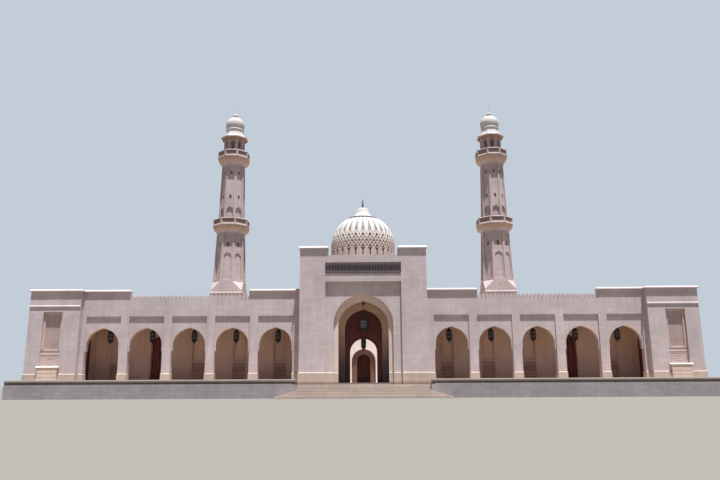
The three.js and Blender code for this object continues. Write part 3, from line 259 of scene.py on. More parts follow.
def honed_stone(name, light, dark, joint, block=(1200, 600), grain=0.5, roughness=0.8, bands=(), paving=None,
                soffit=None, hollows=None):
    """Blocks of two tones with their joints; each band is (full up to here, gone by here, colour)."""
    material, tree, shader = new_material(name)
    here, face, height, rise = wall_coordinates(tree)
    blocks = add(tree, "ShaderNodeTexBrick", {
        "Vector": face, "Color1": linear(light), "Color2": linear(dark), "Mortar": linear(joint), "Scale": 1,
        "Mortar Size": mm(9), "Mortar Smooth": 0.3, "Bias": 0, "Brick Width": mm(block[0]),
        "Row Height": mm(block[1])})
    cloud = add(tree, "ShaderNodeTexNoise", {"Vector": here, "Scale": 1 / mm(3500), "Detail": 4})
    tall = add(tree, "ShaderNodeMapping", {"Vector": here, "Scale": (1, 1, 0.12)})
    streak = add(tree, "ShaderNodeTexNoise", {"Vector": tall, "Scale": 1 / mm(450), "Detail": 3})
    speck = add(tree, "ShaderNodeTexNoise",
                {"Vector": here, "Scale": 1 / mm(60), "Detail": 5, "Roughness": 0.7})
    colour = blocks.outputs["Color"]
    for full, gone, tone in bands:
        colour = tinted(tree, colour, linear(tone), height, mm(gone), mm(full))
    if paving:
        colour = tinted(tree, colour, linear(paving), rise, 0.7, 0.8)
    # Faces that look down get a warmer colour: a painted warm bounce light on soffits and undersides.
    if soffit:
        colour = tinted(tree, colour, linear(soffit), rise, -0.1, -0.5)
    # Points sunk under the dome's skin, in the hollows of the carving, get painted shade: greyer high up,
    # browner lower down.
    if hollows:
        centre, radius, browner_below, hollow_shade_high, hollow_shade_low = hollows
        middle = tuple(TO_MODEL @ Vector(centre))
        away = add(tree, "ShaderNodeVectorMath", {0: here, 1: middle}, operation="SUBTRACT")
        over = add(tree, "ShaderNodeVectorMath", {0: away, 1: (-1000, -1000, 0)}, operation="MAXIMUM")
        reach = add(tree, "ShaderNodeVectorMath", {0: over}, operation="LENGTH")
        painted_hollow_shade = tinted(tree, linear(hollow_shade_high), linear(hollow_shade_low), height, mm(browner_below), mm(browner_below - 2200))
        colour = tinted(tree, colour, painted_hollow_shade, reach.outputs["Value"], mm(radius - 60), mm(radius - 150))
    for noise, low, high in ((cloud, 0.90, 1.06), (streak, 0.94, 1.05), (speck, 0.93, 1.07)):
        colour = mottled(tree, colour, noise, low, high)
    dip = add(tree, "ShaderNodeMath", {0: blocks.outputs["Fac"], 1: -1.0}, operation="MULTIPLY")
    relief = add(tree, "ShaderNodeMath", {0: speck, 1: grain, 2: dip}, operation="MULTIPLY_ADD")
    surface(tree, shader, colour, speck, roughness - 0.08, roughness + 0.08, 0.6, 6, relief)
    return material


# %% The stones of the building
# Limestone, sawn and honed: matt, pinkish grey, a warmer stone for the base courses and a dark brown band
# along the foot of the walls. Its undersides get a warm painted bounce light.
wall_limestone = honed_stone("honed_pink_limestone", "#c3b7ba", "#bbaeb1", "#a19598", soffit="#e6c2a8",
                             bands=((3170, 3180, "#b6a79e"), (1650, 2100, "#6f5643")))
# The same quarry's rosier bed on the minarets, in smaller blocks.
minaret_limestone = honed_stone("honed_rose_limestone", "#beafb1", "#b4a4a6", "#9a8b8c", (900, 450))
# White marble, honed: nearly white, with a faint warmth, for the portal's coping, sills and the court.
white_marble = honed_stone("honed_white_marble", "#dcd6d2", "#d3cdc9", "#b8b0ac", (1500, 600), roughness=0.6)
# Carved limestone of the dome: no joints to be seen. The hollows of the carving get painted shade, browner
# lower down, and the lower courses a pinker, darker tone that paints warm bounce light.
dome_limestone = honed_stone("carved_pale_limestone", "#c5c8c7", "#bdc0bf", "#bdc0bf", SEAMLESS,
                             bands=((20500, 23300, "#b5a6a2"),),
                             hollows=((0, 5.1, 20.84), 4530, 23200, "#8b8380", "#80605a"))
# The same stone without carving, on the caps and crowns.
crown_limestone = honed_stone("rubbed_pale_limestone", "#bcbab9", "#b5b3b1", "#b5b3b1", SEAMLESS)
# Pierced panels and slit grilles in the minarets: a dark brown that paints the shade seen through the
# piercings.
pierced_limestone = honed_stone("brown_limestone_painted_shade", "#a58c87", "#9b827d", "#9b827d", SEAMLESS)
# The frame of the far doorway: brown sandstone, rubbed smooth; its dark brown also paints the shade in the
# doorway's jambs.
hall_sandstone = honed_stone("rubbed_brown_sandstone", "#6f524d", "#674b45", "#553c36", (900, 450))
# Blue-grey marble slabs on the podium, flamed: cooler and rougher; the terrace is paved in beige.
podium_marble = honed_stone("flamed_grey_marble", "#9d989d", "#948f94", "#7c797d", (900, 450),
                            paving="#bcab9f")
# Beige marble steps, honed.
step_marble = honed_stone("honed_beige_marble", "#b1a49c", "#a79a92", "#8c8078", (1800, 900), roughness=0.55)
# Warm sandstone, carved: the corbels under the balconies. Its warm brown also paints the warm bounce light
# under them.
corbel_sandstone = honed_stone("carved_warm_sandstone", "#ceae9b", "#c3a390", "#a98a79", (700, 350))
# The same stone, darker, under the eaves and on their brackets: painted shade.
eave_sandstone = honed_stone("warm_sandstone_painted_shade", "#a88673", "#9d7c69", "#87695a", (700, 350))
# Panels of the pavilion niches: a paler, pinker bed, rubbed smooth.
panel_limestone = honed_stone("rubbed_rose_limestone", "#c6b1ad", "#bea9a5", "#a69390", (1500, 900))
# Ledges, sill blocks and the facing of the great arch: the palest bed, a little creamy.
pale_limestone = honed_stone("rubbed_cream_limestone", "#d3c2b8", "#cbbab0", "#b09f96", (1500, 600))
# Lime plaster, floated by hand, warm and a little uneven, on the walls behind the arches; greyer and darker
# towards the foot.
loggia_plaster = honed_stone("floated_lime_plaster", "#dab69e", "#d4b098", "#d4b098", SEAMLESS, 1.0,
                             bands=((3300, 7500, "#bea49f"),))
# The same plaster, darker, in the lower half of the niches.
niche_plaster = honed_stone("darker_lime_plaster", "#b08d84", "#a8857c", "#a8857c", SEAMLESS, 1.0)
# Thin dark strips under the noses of the treads: painted shadow.
step_shadow_paint = honed_stone("dark_painted_step_shadow", "#5a4c44", "#524540", "#524540", SEAMLESS, 1.0)
# Kerb stone of the terrace and the porch's step: a duller beige limestone, sawn.
kerb_limestone = honed_stone("sawn_beige_limestone", "#746b66", "#7a7069", "#665d57", (1500, 600))
# Porch stone: ochre towards the crown of the vault, a painted warm bounce light, and dark brown low down, a
# painted shade.
porch_marble = honed_stone("porch_stone_painted_light", "#c8a98e", "#bea085", "#9c8168", roughness=0.5,
                           bands=((4300, 8800, "#5a4f53"),))
# Cement screed on the flat roofs, trowelled, in bays.
roof_screed = honed_stone("trowelled_screed", "#b9b2aa", "#b1aaa2", "#98918a", (3000, 3000), 1.0)
print(len(bpy.data.materials), "materials so far")

# %% [markdown]
# ## Timber, metal and glass
# The screens and doors are oiled teak. Oil darkens the wood to a red-brown, the grain runs up the boards,
# and the growth lines are a stretched wave, bent by noise so that no two boards agree. The metals are plain
# in colour, so their life comes from roughness: a patina on bronze is patchy, a satin paint is nearly even.

# %% Teak, bronze, iron and glass
def oiled_teak(name, light, dark):
    """Teak, planed and oiled: dark growth lines up the boards, satin where oil has filled the pores."""
    material, tree, shader = new_material(name)
    here = add(tree, "ShaderNodeTexCoord").outputs["Object"]
    grain = add(tree, "ShaderNodeMapping", {"Vector": here, "Scale": (1, 1, 0.06)})
    bend = add(tree, "ShaderNodeTexNoise", {"Vector": grain, "Scale": 1 / mm(160), "Detail": 4})
    lines = add(tree, "ShaderNodeTexWave",
                {"Vector": grain, "Scale": 1 / mm(420), "Distortion": 6, "Detail": 3, "Detail Scale": 2},
                bands_direction="DIAGONAL").outputs["Fac"]
    pores = add(tree, "ShaderNodeTexNoise", {"Vector": grain, "Scale": 1 / mm(25), "Detail": 2})
    colour = mottled(tree, tinted(tree, linear(dark), linear(light), lines, 0, 1), bend, 0.75, 1.2)
    surface(tree, shader, colour, pores, 0.38, 0.6, 0.4, 3, pores)
    return material


def worked_metal(name, light, dark, metallic, roughness):
    """A metal or painted metal whose tone and gloss drift in soft patches."""
    material, tree, shader = new_material(name)
    here = add(tree, "ShaderNodeTexCoord").outputs["Object"]
    patch = add(tree, "ShaderNodeTexNoise", {"Vector": here, "Scale": 1 / mm(220), "Detail": 5})
    colour = tinted(tree, linear(dark), linear(light), patch, 0.35, 0.65)
    shader.inputs["Metallic"].default_value = metallic
    surface(tree, shader, colour, patch, roughness - 0.1, roughness + 0.12, 0.3, 2, patch)
    return material


teak = oiled_teak("oiled_teak", "#7a2f24", "#4e1812")
bronze = worked_metal("patinated_bronze", "#4a4248", "#2f292f", 0.55, 0.5)
iron_paint = worked_metal("satin_black_iron", "#2c292b", "#1d1b1d", 0.0, 0.45)
lantern_glass = worked_metal("frosted_lantern_glass", "#7d858a", "#5f686e", 0.0, 0.3)
print(len(bpy.data.materials), "materials")

# %% [markdown]
# ## Dress the solids whose shape is right
# Most of the masonry needs no new shape: the arches, recesses, copings, merlons and steps are in the solids.
# Each solid only swaps its plain colour for the stone that it is made of.

# %% Give each solid its stone
MADE_OF = (
    (podium_marble, "podium"), (step_marble, "front_steps"), (kerb_limestone, "terrace_kerb"),
    (white_marble, "portal_coping", "court_wall"), (hall_sandstone, "hall_door_screen"),
    (roof_screed, "wing_roof", "portal_roof", "court_range_roof"),
    (porch_marble, "porch_vault", "portal_inner_wall"),
    (loggia_plaster, "loggia"), (minaret_limestone, "minaret"), (dome_limestone, "dome"),
    (teak, "portal_screen", "portal_leaf", "loggia_leaf", "pavilion_leaf"),
    (iron_paint, "portal_lantern", "lantern_row"), (bronze, "portal_band"),
)
stone_of = {start: stone for stone, *starts in MADE_OF for start in starts}
for name, solid in frame["nodes"].items():
    known = [start for start in stone_of if name.startswith(start)]
    solid.data.materials.clear()
    solid.data.materials.append(stone_of[max(known, key=len)] if known else wall_limestone)
print(sum(len(solid.data.materials) for solid in frame["nodes"].values()), "solids have their finish")

# %% [markdown]
# ## A small kit of shapes
# Masonry and joinery are mostly a few plain moves: a block, an outline carried back through a wall, a profile
# turned about an upright axis, and a moulding run along a line. Each function below gives a closed shape as a
# list of points in real metres and a list of faces, so that shapes can be merged before Blender sees them.

# %% Blocks, prisms and turned shapes
def merge(*shapes):
    """Several closed shapes as one list of points and one of faces."""
    points, faces = [], []
    for shape_points, shape_faces in shapes:
        start = len(points)
        points += [tuple(point) for point in shape_points]
        faces += [[start + i for i in face] for face in shape_faces]
    return points, faces


def loft(rings, closed=False):
    """Rings of equally many points, skinned; open ends get caps, a closed run joins its last to its first."""
    count = len(rings[0])
    points = [point for ring in rings for point in ring]
    faces = []
    for i in range(len(rings) if closed else len(rings) - 1):
        here, there = i * count, (i + 1) % len(rings) * count
        faces += [(here + j, here + (j + 1) % count, there + (j + 1) % count, there + j)
                  for j in range(count)]
    if not closed:
        faces += [tuple(range(count - 1, -1, -1)), tuple(range(len(points) - count, len(points)))]
    return points, faces


def prism(outline, front, back):
    """An outline of (x, z) points carried straight back through a wall."""
    return loft([[(x, y, z) for x, z in outline] for y in (front, back)])


def extruded(profile, half):
    """A profile of (y, z) points carried along x, from -half to half."""
    return loft([[(x, y, z) for y, z in profile] for x in (-half, half)])


def block(xs, ys, zs):
    """A squared block between pairs of limits."""
    (x0, x1), (z0, z1) = xs, zs
    return prism([(x0, z0), (x1, z0), (x1, z1), (x0, z1)], *ys)


def spun(profile, sides, centre=(0, 0, 0), closed=False):
    """A profile of (radius, height) points turned about an upright axis, with flats towards the axes."""
    turns = [math.tau * (i + 0.5) / sides for i in range(sides)]
    x, y, z = centre
    return loft([[(x + r * math.cos(a), y + r * math.sin(a), z + h) for a in turns] for r, h in profile],
                closed)


def octagonal(profile, centre=(0, 0, 0), closed=False):
    """The same with eight sides, given half the width across the flats."""
    return spun([(half / math.cos(math.pi / 8), h) for half, h in profile], 8, centre, closed)


def placed(shape, matrix):
    """A shape moved and turned."""
    return [tuple(matrix @ Vector(point)) for point in shape[0]], shape[1]


def copies(shape, places):
    """The same shape at several places."""
    return merge(*(placed(shape, moved(*place)) for place in places))


def frame_at(x, y, quarters):
    """A wall's own frame: x along it, y into it, turned by quarter turns about the upright."""
    return moved(x, y) @ turned(quarters * math.pi / 2)


# %% [markdown]
# A pointed arch here is two arcs that turn into straight strokes at 18 degrees near the crown. Every frame,
# moulding and screen head follows that one line. A moulding is a small section carried along a line with a
# mitre at each bend, which is how a mason's template or a joiner's router makes it.

# %% Arches and mouldings
STROKE = math.radians(18)
FLOOR = 1.65


def arch_line(half, foot, apex, steps=12, centre=0):
    """From the right foot over the crown to the left foot."""
    spring = apex - half / math.cos(STROKE)
    sweep = (math.pi / 2 - STROKE) / steps
    right = [(half, foot)] + [(half * math.cos(sweep * i), spring + half * math.sin(sweep * i))
                              for i in range(steps + 1)]
    line = right + [(0, apex)] + [(-x, z) for x, z in reversed(right)]
    return [(centre + x, z) for x, z in line]


def moulding(line, section, closed=False):
    """A section of (outward, depth) points carried along a line of (x, z) points and mitred at each bend."""
    spots = [Vector(point) for point in line]
    rings = []
    for i, spot in enumerate(spots):
        after = spots[(i + 1) % len(spots)] if closed or i < len(spots) - 1 else None
        before = spots[i - 1] if closed or i else None
        leave = (after - spot).normalized() if after else (spot - before).normalized()
        come = (spot - before).normalized() if before else leave
        along = (come + leave).normalized()
        side = Vector((along.y, -along.x)) / max(along.dot(leave), 0.3)
        rings.append([(spot.x + side.x * out, depth, spot.y + side.y * out) for out, depth in section])
    return loft(rings, closed)


def strip(line, wide, front, back, bevel, closed=False):
    """A flat strip along a line, with its front edges taken off by a bevel."""
    return moulding(line, [(0, back), (0, front + bevel), (bevel, front), (wide - bevel, front),
                           (wide, front + bevel), (wide, back)], closed)


def arch_trim(half, apex, wide, front, back, bevel, foot=FLOOR, steps=12, centre=0):
    """A flat strip run round an arch."""
    return strip(arch_line(half, foot, apex, steps, centre), wide, front, back, bevel)


def arched_board(half, foot, top, arch_half, apex, front, back, steps=12):
    """A board with a pointed doorway cut up into it from its foot."""
    return prism([(half, foot), (half, top), (-half, top), (-half, foot)]
                 + arch_line(arch_half, foot, apex, steps)[::-1], front, back)


def bar(start, end, wide, front, back):
    """A straight bar between two (x, z) points."""
    a, b = Vector(start), Vector(end)
    side = (b - a).normalized() * wide / 2
    side = Vector((-side.y, side.x))
    return prism([(p.x, p.y) for p in (a - side, b - side, b + side, a + side)], front, back)


def crossing(wide, high, thick, front, back):
    """One cell of a diamond lattice: two crossed bars from corner to corner."""
    return merge(bar((0, 0), (wide, high), thick, front, back), bar((0, high), (wide, 0), thick, front, back))


# %% [markdown]
# ## From a list of points to a finished piece
# `finish` takes a mesh that is already in its place, turns every closed shell's faces outwards, hangs the
# piece on the empty of the body that it rides on, and hides the solids that it replaces.
# Smooth shading is only for turned and carved work, and it stops at edges sharper than a given angle.

# %% Finish a piece
made = {}


def as_mesh(name, shape, to_place=TO_MODEL):
    """A mesh in the model's frame from points in real metres."""
    mesh = bpy.data.meshes.new(name)
    mesh.from_pydata([to_place @ Vector(point) for point in shape[0]], [], shape[1])
    return mesh


def finish(name, mesh, material, slot, replaces=(), body="building", smooth=None, weld=None):
    """The piece with its faces outwards, riding on its body."""
    thing = bpy.data.objects.new(name, mesh)
    bpy.context.scene.collection.objects.link(thing)
    work = bmesh.new()
    work.from_mesh(mesh)
    if weld:
        bmesh.ops.remove_doubles(work, verts=work.verts, dist=weld)
    bmesh.ops.recalc_face_normals(work, faces=work.faces)
    work.to_mesh(mesh)
    work.free()
    mesh.materials.clear()
    mesh.materials.append(material)
    if smooth:
        mesh.shade_smooth()
        mesh.set_sharp_from_angle(angle=math.radians(smooth))
    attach(thing, body)
    if replaces:
        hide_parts(*replaces)
    made[name] = sum(len(polygon.vertices) - 2 for polygon in mesh.polygons)


def build(name, shape, material, slot, **rest):
    """A shape made straight into a finished piece."""
    finish(name, as_mesh(name, shape), material, slot, **rest)


# %% [markdown]
# ## One tree for all that repeats
# Lattices, brackets, chain links, even the dome's 28 carved gores are one shape set out again and again.
# Geometry Nodes can do them all with one tree: points counted in columns and rows, a copy of the shape on
# each, turned a little more with every step. A stack has one column, a grid has many, and a ring has no steps
# at all but a turn. The result is read back as a plain mesh, and the seed and its modifier go.

# %% The setting-out tree
def setting_out_tree():
    """Copies of the seed's mesh in columns and rows, or in a ring."""
    tree = bpy.data.node_groups.new("setting_out", "GeometryNodeTree")
    for label, kind in (("Seed", "Geometry"), ("Count", "Int"), ("Columns", "Int"), ("First", "Vector"),
                        ("Column Step", "Vector"), ("Row Step", "Vector"), ("Turn", "Float"),
                        ("Finish", "Material")):
        tree.interface.new_socket(label, in_out="INPUT", socket_type="NodeSocket" + kind)
    tree.interface.new_socket("Pieces", in_out="OUTPUT", socket_type="NodeSocketGeometry")
    given = add(tree, "NodeGroupInput").outputs
    index = add(tree, "GeometryNodeInputIndex")
    column = add(tree, "ShaderNodeMath", {0: index, 1: given["Columns"]}, operation="MODULO")
    share = add(tree, "ShaderNodeMath", {0: index, 1: given["Columns"]}, operation="DIVIDE")
    row = add(tree, "ShaderNodeMath", {0: share}, operation="FLOOR")
    across = add(tree, "ShaderNodeVectorMath", {0: given["Column Step"], "Scale": column}, operation="SCALE")
    up = add(tree, "ShaderNodeVectorMath", {0: given["Row Step"], "Scale": row}, operation="SCALE")
    step = add(tree, "ShaderNodeVectorMath", {0: across, 1: up}, operation="ADD")
    spot = add(tree, "ShaderNodeVectorMath", {0: step, 1: given["First"]}, operation="ADD")
    points = add(tree, "GeometryNodePoints", {"Count": given["Count"], "Position": spot})
    angle = add(tree, "ShaderNodeMath", {0: index, 1: given["Turn"]}, operation="MULTIPLY")
    upright = add(tree, "ShaderNodeCombineXYZ", {2: angle})
    turn = add(tree, "FunctionNodeEulerToRotation", {0: upright})
    copied = add(tree, "GeometryNodeInstanceOnPoints",
                 {"Points": points, "Instance": given["Seed"], "Rotation": turn})
    real = add(tree, "GeometryNodeRealizeInstances", {0: copied})
    painted = add(tree, "GeometryNodeSetMaterial", {"Geometry": real, "Material": given["Finish"]})
    add(tree, "NodeGroupOutput", {0: painted})
    return tree


SETTING_OUT = setting_out_tree()
SOCKET = {item.name: item.identifier for item in SETTING_OUT.interface.items_tree if item.in_out == "INPUT"}
WORLD = Matrix.Identity(4)


def set_out(name, shape, material, count, columns=1, first=(0, 0, 0), across=(0, 0, 0), up=(0, 0, 0),
            turn=0.0, wall=WORLD):
    """The shape repeated by the tree, as one mesh; places and steps are in the wall's own frame."""
    facing = wall.to_3x3().to_4x4()
    seed = bpy.data.objects.new(name, as_mesh(name, placed(shape, facing), Matrix.Scale(SCALE, 4)))
    bpy.context.scene.collection.objects.link(seed)
    tree = seed.modifiers.new("setting_out", "NODES")
    tree.node_group = SETTING_OUT
    values = {"Count": count, "Columns": columns, "First": tuple(TO_MODEL @ wall @ Vector(first)),
              "Column Step": tuple(facing @ Vector(across) * SCALE),
              "Row Step": tuple(facing @ Vector(up) * SCALE), "Turn": float(turn), "Finish": material}
    for label, value in values.items():
        tree[SOCKET[label]] = value
    mesh = bpy.data.meshes.new_from_object(seed.evaluated_get(bpy.context.evaluated_depsgraph_get()))
    bpy.data.objects.remove(seed)
    mesh.name = name
    return mesh


def repeat(name, shape, material, slot, count, replaces=(), smooth=None, weld=None, **layout):
    """The repeated shape as a finished piece."""
    mesh = set_out(name, shape, material, count, **layout)
    finish(name, mesh, material, slot, replaces, smooth=smooth, weld=weld)


def lattice(name, material, slot, half, low, high, columns, rows, thick, front, back, wall=WORLD):
    """A diamond lattice set out over a panel, from -half to half and from low to high."""
    wide, tall = 2 * half / columns, (high - low) / rows
    repeat(name, crossing(wide, tall, thick, front, back), material, slot, columns * rows,
           columns=columns, first=(-half, 0, low), across=(wide, 0, 0), up=(0, 0, tall), wall=wall)


print("the tree takes", list(SOCKET))

# %% [markdown]
# ## The carved dome
# The dome is a hemisphere on a short drum, and 28 gores of carving run up it: a plain ring, a row of pointed
# petals, a band of crossed strands with openings between, and plump ribs that close at the cap. Each gore is
# the same, so one narrow strip is enough: its points sit on a fine grid, and one function says how deep the
# chisel has gone at each of them. The tree then turns the strip 28 times, and the seams are welded.
#
# `u` counts across one gore, from -0.5 to 0.5 with a groove in the middle, and `s` is the length up the
# curve from the dome's foot.

# %% How deep the carving is
GORES = 28
DOME_Y, DOME_RADIUS = 5.1, 4.53
DOME_FOOT, DOME_SPRING = 17.9, 20.84
DOME_THICK = 0.35
DRUM_HIGH = DOME_SPRING - DOME_FOOT
PETALS, STRANDS_FROM, RIBS_FROM = (0.9, 2.0), 1.94, 4.27
DEEP, SHALLOW, MOAT_DEEP = 0.2, 0.085, 0.22
STRAND_HALF, PIERCED_HALF = 0.23, 0.15
PIERCED = {1: 0.18, 3: 0.11, 5: 0.15}  # the rows of openings and how deep they are cut
# The crossings stand at s = 1.938 + 0.2725 t + 0.0194 t * t, so their spacing grows with the height.
FIRST_CROSSING, SPACING, GROWTH = 1.938, 0.2725, 0.0194
MOAT = 7.42  # the ribs end here and a sunk ring runs round under the cap
EDGE = 0.05


def soft(distance):
    """0 to 1 over a worn edge that is one step of the grid wide."""
    share = min(max(distance / EDGE + 0.5, 0), 1)
    return share * share * (3 - 2 * share)


def petal_depth(v, s):
    """Sunk ground between petals that narrow to a point."""
    low, high = PETALS
    taper = max(s - low - 0.4, 0) / (high - low - 0.4)
    return DEEP * soft(v - 0.43 * (1 - 0.6 * min(taper, 1) ** 2.4))


def strand_depth(u, s):
    """Crossed strands; in three rows the lozenge between them is cut deeper."""
    t = (-SPACING + math.sqrt(SPACING ** 2 + 4 * GROWTH * (s - FIRST_CROSSING))) / (2 * GROWTH)
    a, b = 2 * u + t / 2, 2 * u - t / 2
    away = min(abs(a - round(a)), abs(b - round(b)))
    level = round(t)
    in_groove = abs(u) < 0.25
    if level in PIERCED and in_groove == (level != 3):
        return PIERCED[level] * soft((away - PIERCED_HALF) * 0.5)
    return SHALLOW * soft((away - STRAND_HALF) * 0.5)


def rib_depth(v, s):
    """Plump ribs; the slit between two opens from a point, is widest low down and closes towards the cap."""
    up = s - RIBS_FROM
    slit = 0.24 * min(up / 0.5 + 0.1, 1) ** 0.7 * math.exp(-max(up - 0.5, 0) / 1.3)
    depth = max(0.1 * (2 * v) ** 3, DEEP * soft(v - 0.5 + slit))
    return max(depth, MOAT_DEEP * soft(s - MOAT))


def carving_depth(u, s):
    """Depth of the chisel at u across the gore and s up the curve."""
    v = 0.5 - abs(u)
    if s < PETALS[0]:
        return 0.0
    if s < STRANDS_FROM:
        return petal_depth(v, s)
    return strand_depth(u, s) if s < RIBS_FROM else rib_depth(v, s)


# %% Carve one gore and turn it round
ACROSS, UP_STEPS, INSIDE_STEPS = 20, 104, 12
TOP_ANGLE = math.radians(78)


def dome_point(u, s, depth):
    """Where u and s lie on the dome, `depth` under its skin."""
    angle = math.tau * u / GORES - math.pi / 2
    climb = max(s - DRUM_HIGH, 0) / DOME_RADIUS
    reach = (DOME_RADIUS - depth) * math.cos(climb)
    rise = min(s, DRUM_HIGH) + (DOME_RADIUS - depth) * math.sin(climb)
    return reach * math.cos(angle), reach * math.sin(angle), DOME_FOOT + rise


def dome_gore():
    """One strip of the shell: the carved outside up to the cap, and the plain inside down again."""
    length = DRUM_HIGH + DOME_RADIUS * TOP_ANGLE
    outside = [length * i / UP_STEPS for i in range(UP_STEPS + 1)]
    inside = [length * i / INSIDE_STEPS for i in range(INSIDE_STEPS, -1, -1)]
    across = [i / ACROSS - 0.5 for i in range(ACROSS + 1)]
    points = [dome_point(u, s, carving_depth(u, s)) for s in outside for u in across]
    points += [dome_point(u, s, DOME_THICK) for s in inside for u in across]
    rows, wide = len(outside) + len(inside), ACROSS + 1
    return points, [(i * wide + j, i * wide + j + 1, (i + 1) % rows * wide + j + 1, (i + 1) % rows * wide + j)
                    for i in range(rows) for j in range(ACROSS)]


repeat("carved_dome", dome_gore(), dome_limestone, "white_stone", GORES, first=(0, DOME_Y, 0),
       turn=math.tau / GORES, replaces=("dome",), smooth=50, weld=mm(4))
print("the dome has", made["carved_dome"], "triangles")

# %% [markdown]
# ## The dome's cap
# A bell-shaped cap covers the place where the ribs meet, and it stands off the dome a little so that a dark
# line shows under its rim. Four balls of shrinking size and a spike stand on it. All of it is turned work.

# %% Turn the cap and its finial
CAP = [(0.6, 24.5), (1.94, 24.5), (1.94, 24.86), (2.08, 24.86), (2.08, 24.93), (1.72, 25.0), (1.5, 25.12),
       (1.28, 25.32), (1.06, 25.6), (0.92, 25.9), (0.82, 26.2), (0.74, 26.38), (0.6, 26.47), (0.2, 26.5)]
SPIKE = [(0.05, 26.5), (0.04, 27.3), (0.03, 27.6), (0.012, 27.97)]
BALLS = ((0.17, 26.71), (0.15, 27.04), (0.12, 27.38), (0.09, 27.7))  # radius and height


def ball(radius, middle, centre, sides=24, rings=8):
    """A turned ball about a height."""
    turns = [math.pi * (i + 0.5) / rings - math.pi / 2 for i in range(rings)]
    return spun([(radius * math.cos(a), middle + radius * math.sin(a)) for a in turns], sides, centre)


axis = (0, DOME_Y, 0)
build("dome_cap", spun(CAP, 56, axis), crown_limestone, "white_stone", replaces=("dome_finial",), smooth=40)
build("dome_finial_balls", merge(*(ball(*size, axis) for size in BALLS), spun(SPIKE, 12, axis)), bronze,
      "dark_bronze", smooth=40)
print("the cap has", made["dome_cap"], "triangles")

# %% [markdown]
# ## Balconies of the minarets
# Each minaret has two balconies. A balcony is a bowl of corbelled stone, a slab with a moulded edge, and a
# parapet of corner posts, a rail and pierced panels. The tower has eight equal sides, so one side's panel and
# brackets are drawn once, and the setting-out tree turns them eight times.

# %% Draw one side of a balcony and turn it eight times
MINARET_X, MINARET_Y = 19.62, 8.5
EIGHTH = math.tau / 8
STAGES = {
    "lower": dict(top=23.5, head=3.86, slab=24.45, deck=24.75, rail=25.6, deck_wide=5.12),
    "upper": dict(top=34.0, head=3.2, slab=35.1, deck=35.35, rail=36.22, deck_wide=4.55),
}
STAIR_HALF = 1.2
EDGE_BACK = 0.1  # from the slab's edge in to the parapet's face
SLITS = ((1.995, 21.35, 22.05, 0.18), (1.745, 28.65, 29.25, 0.16), (1.64, 32.5, 33.0, 0.16))


def half_side(half_wide):
    """Half the length of one of eight sides."""
    return half_wide * math.tan(math.pi / 8)


def parapet_side(stage):
    """The crossed bars of one side over a solid dark sheet, which paints the shade behind the piercings; the
    tower's axis is at the origin.
    """
    outer = stage["deck_wide"] / 2 - EDGE_BACK
    reach = half_side(outer) - 0.1
    low, high = stage["deck"] + 0.1, stage["rail"] - 0.13
    cells = round(2 * reach / 0.28)
    cell = 2 * reach / cells
    bars = crossing(cell, high - low, 0.06, -outer + 0.04, -outer + 0.1)
    panel = block((-reach, reach), (-outer + 0.1, -outer + 0.13), (low, high))
    return merge(panel, copies(bars, [(-reach + i * cell, 0, low) for i in range(cells)]))


def parapet_rings(stage):
    """The moulded slab, the kerb, the rail and the corner posts."""
    half, slab, deck, rail = stage["deck_wide"] / 2, stage["slab"], stage["deck"], stage["rail"]
    outer = half - EDGE_BACK
    corner = outer / math.cos(EIGHTH / 2)
    post = block((-0.13, 0.13), (-corner - 0.03, 0.23 - corner), (deck, rail - 0.02))
    return merge(
        octagonal([(STAIR_HALF, slab), (half - 0.07, slab), (half - 0.07, slab + 0.07), (half, slab + 0.1),
                   (half, deck - 0.1), (outer, deck), (STAIR_HALF, deck)], closed=True),
        octagonal([(outer - 0.14, deck - 0.05), (outer + 0.01, deck - 0.05), (outer + 0.01, deck + 0.1),
                   (outer - 0.14, deck + 0.1)], closed=True),
        octagonal([(outer - 0.17, rail - 0.15), (outer + 0.05, rail - 0.15), (outer + 0.05, rail - 0.06),
                   (outer, rail), (outer - 0.17, rail)], closed=True),
        *(placed(post, turned(EIGHTH * (i + 0.5))) for i in range(8)))


def bowl(stage):
    """A thin skin of warm stone over the upper courses of the corbelled bowl, which carries the painted warm
    bounce light under the slab.
    """
    foot, top = stage["top"], stage["slab"]
    low, high = stage["head"] / 2, stage["deck_wide"] / 2 - 0.07
    steps = ((0.6, 0.3, 0.0), (0.69, 0.4, 0.02), (0.82, 0.6, 0.03), (0.94, 0.82, 0.02), (1.0, 1.0, 0.0))
    outside = [(low + (high - low) * out + lift, foot + (top - foot) * up) for out, up, lift in steps]
    return octagonal([(low - 0.1, foot + 0.3 * (top - foot))] + outside + [(low - 0.1, top)], closed=True)


def bracket(half, wide, low, high, deep):
    """A small corbel: a stub with a slanting underside, standing out from a face at `half` from the axis."""
    return loft([[(-wide / 2, -half + 0.25, z), (wide / 2, -half + 0.25, z),
                  (wide / 2, -half - out, z), (-wide / 2, -half - out, z)]
                 for z, out in ((low, 0), (high - 0.06, deep), (high, deep))])


def bowl_brackets(stage):
    """A tier of small corbels on one side, under the slab."""
    foot, rise = stage["top"], stage["slab"] - stage["top"]
    low, high = stage["head"] / 2, stage["deck_wide"] / 2 - 0.07
    half = low + (high - low) * 0.8
    pitch = 2 * half_side(half) / 5
    one = bracket(half, pitch * 0.5, foot + rise * 0.5, foot + rise * 0.8, 0.1)
    return copies(one, [((i - 2) * pitch, 0, 0) for i in range(5)])


def slit_grille(half, low, high, wide):
    """Crossed bars over a dark sheet set back in one slit window; the sheet paints the shade inside the slit.
    """
    cells = round((high - low) / (2 * wide))
    step = (high - low) / cells
    return merge(block((-wide, wide), (0.3 - half, 0.34 - half), (low, high)),
                 copies(crossing(2 * wide, step, 0.05, 0.24 - half, 0.3 - half),
                        [(-wide, 0, low + i * step) for i in range(cells)]))


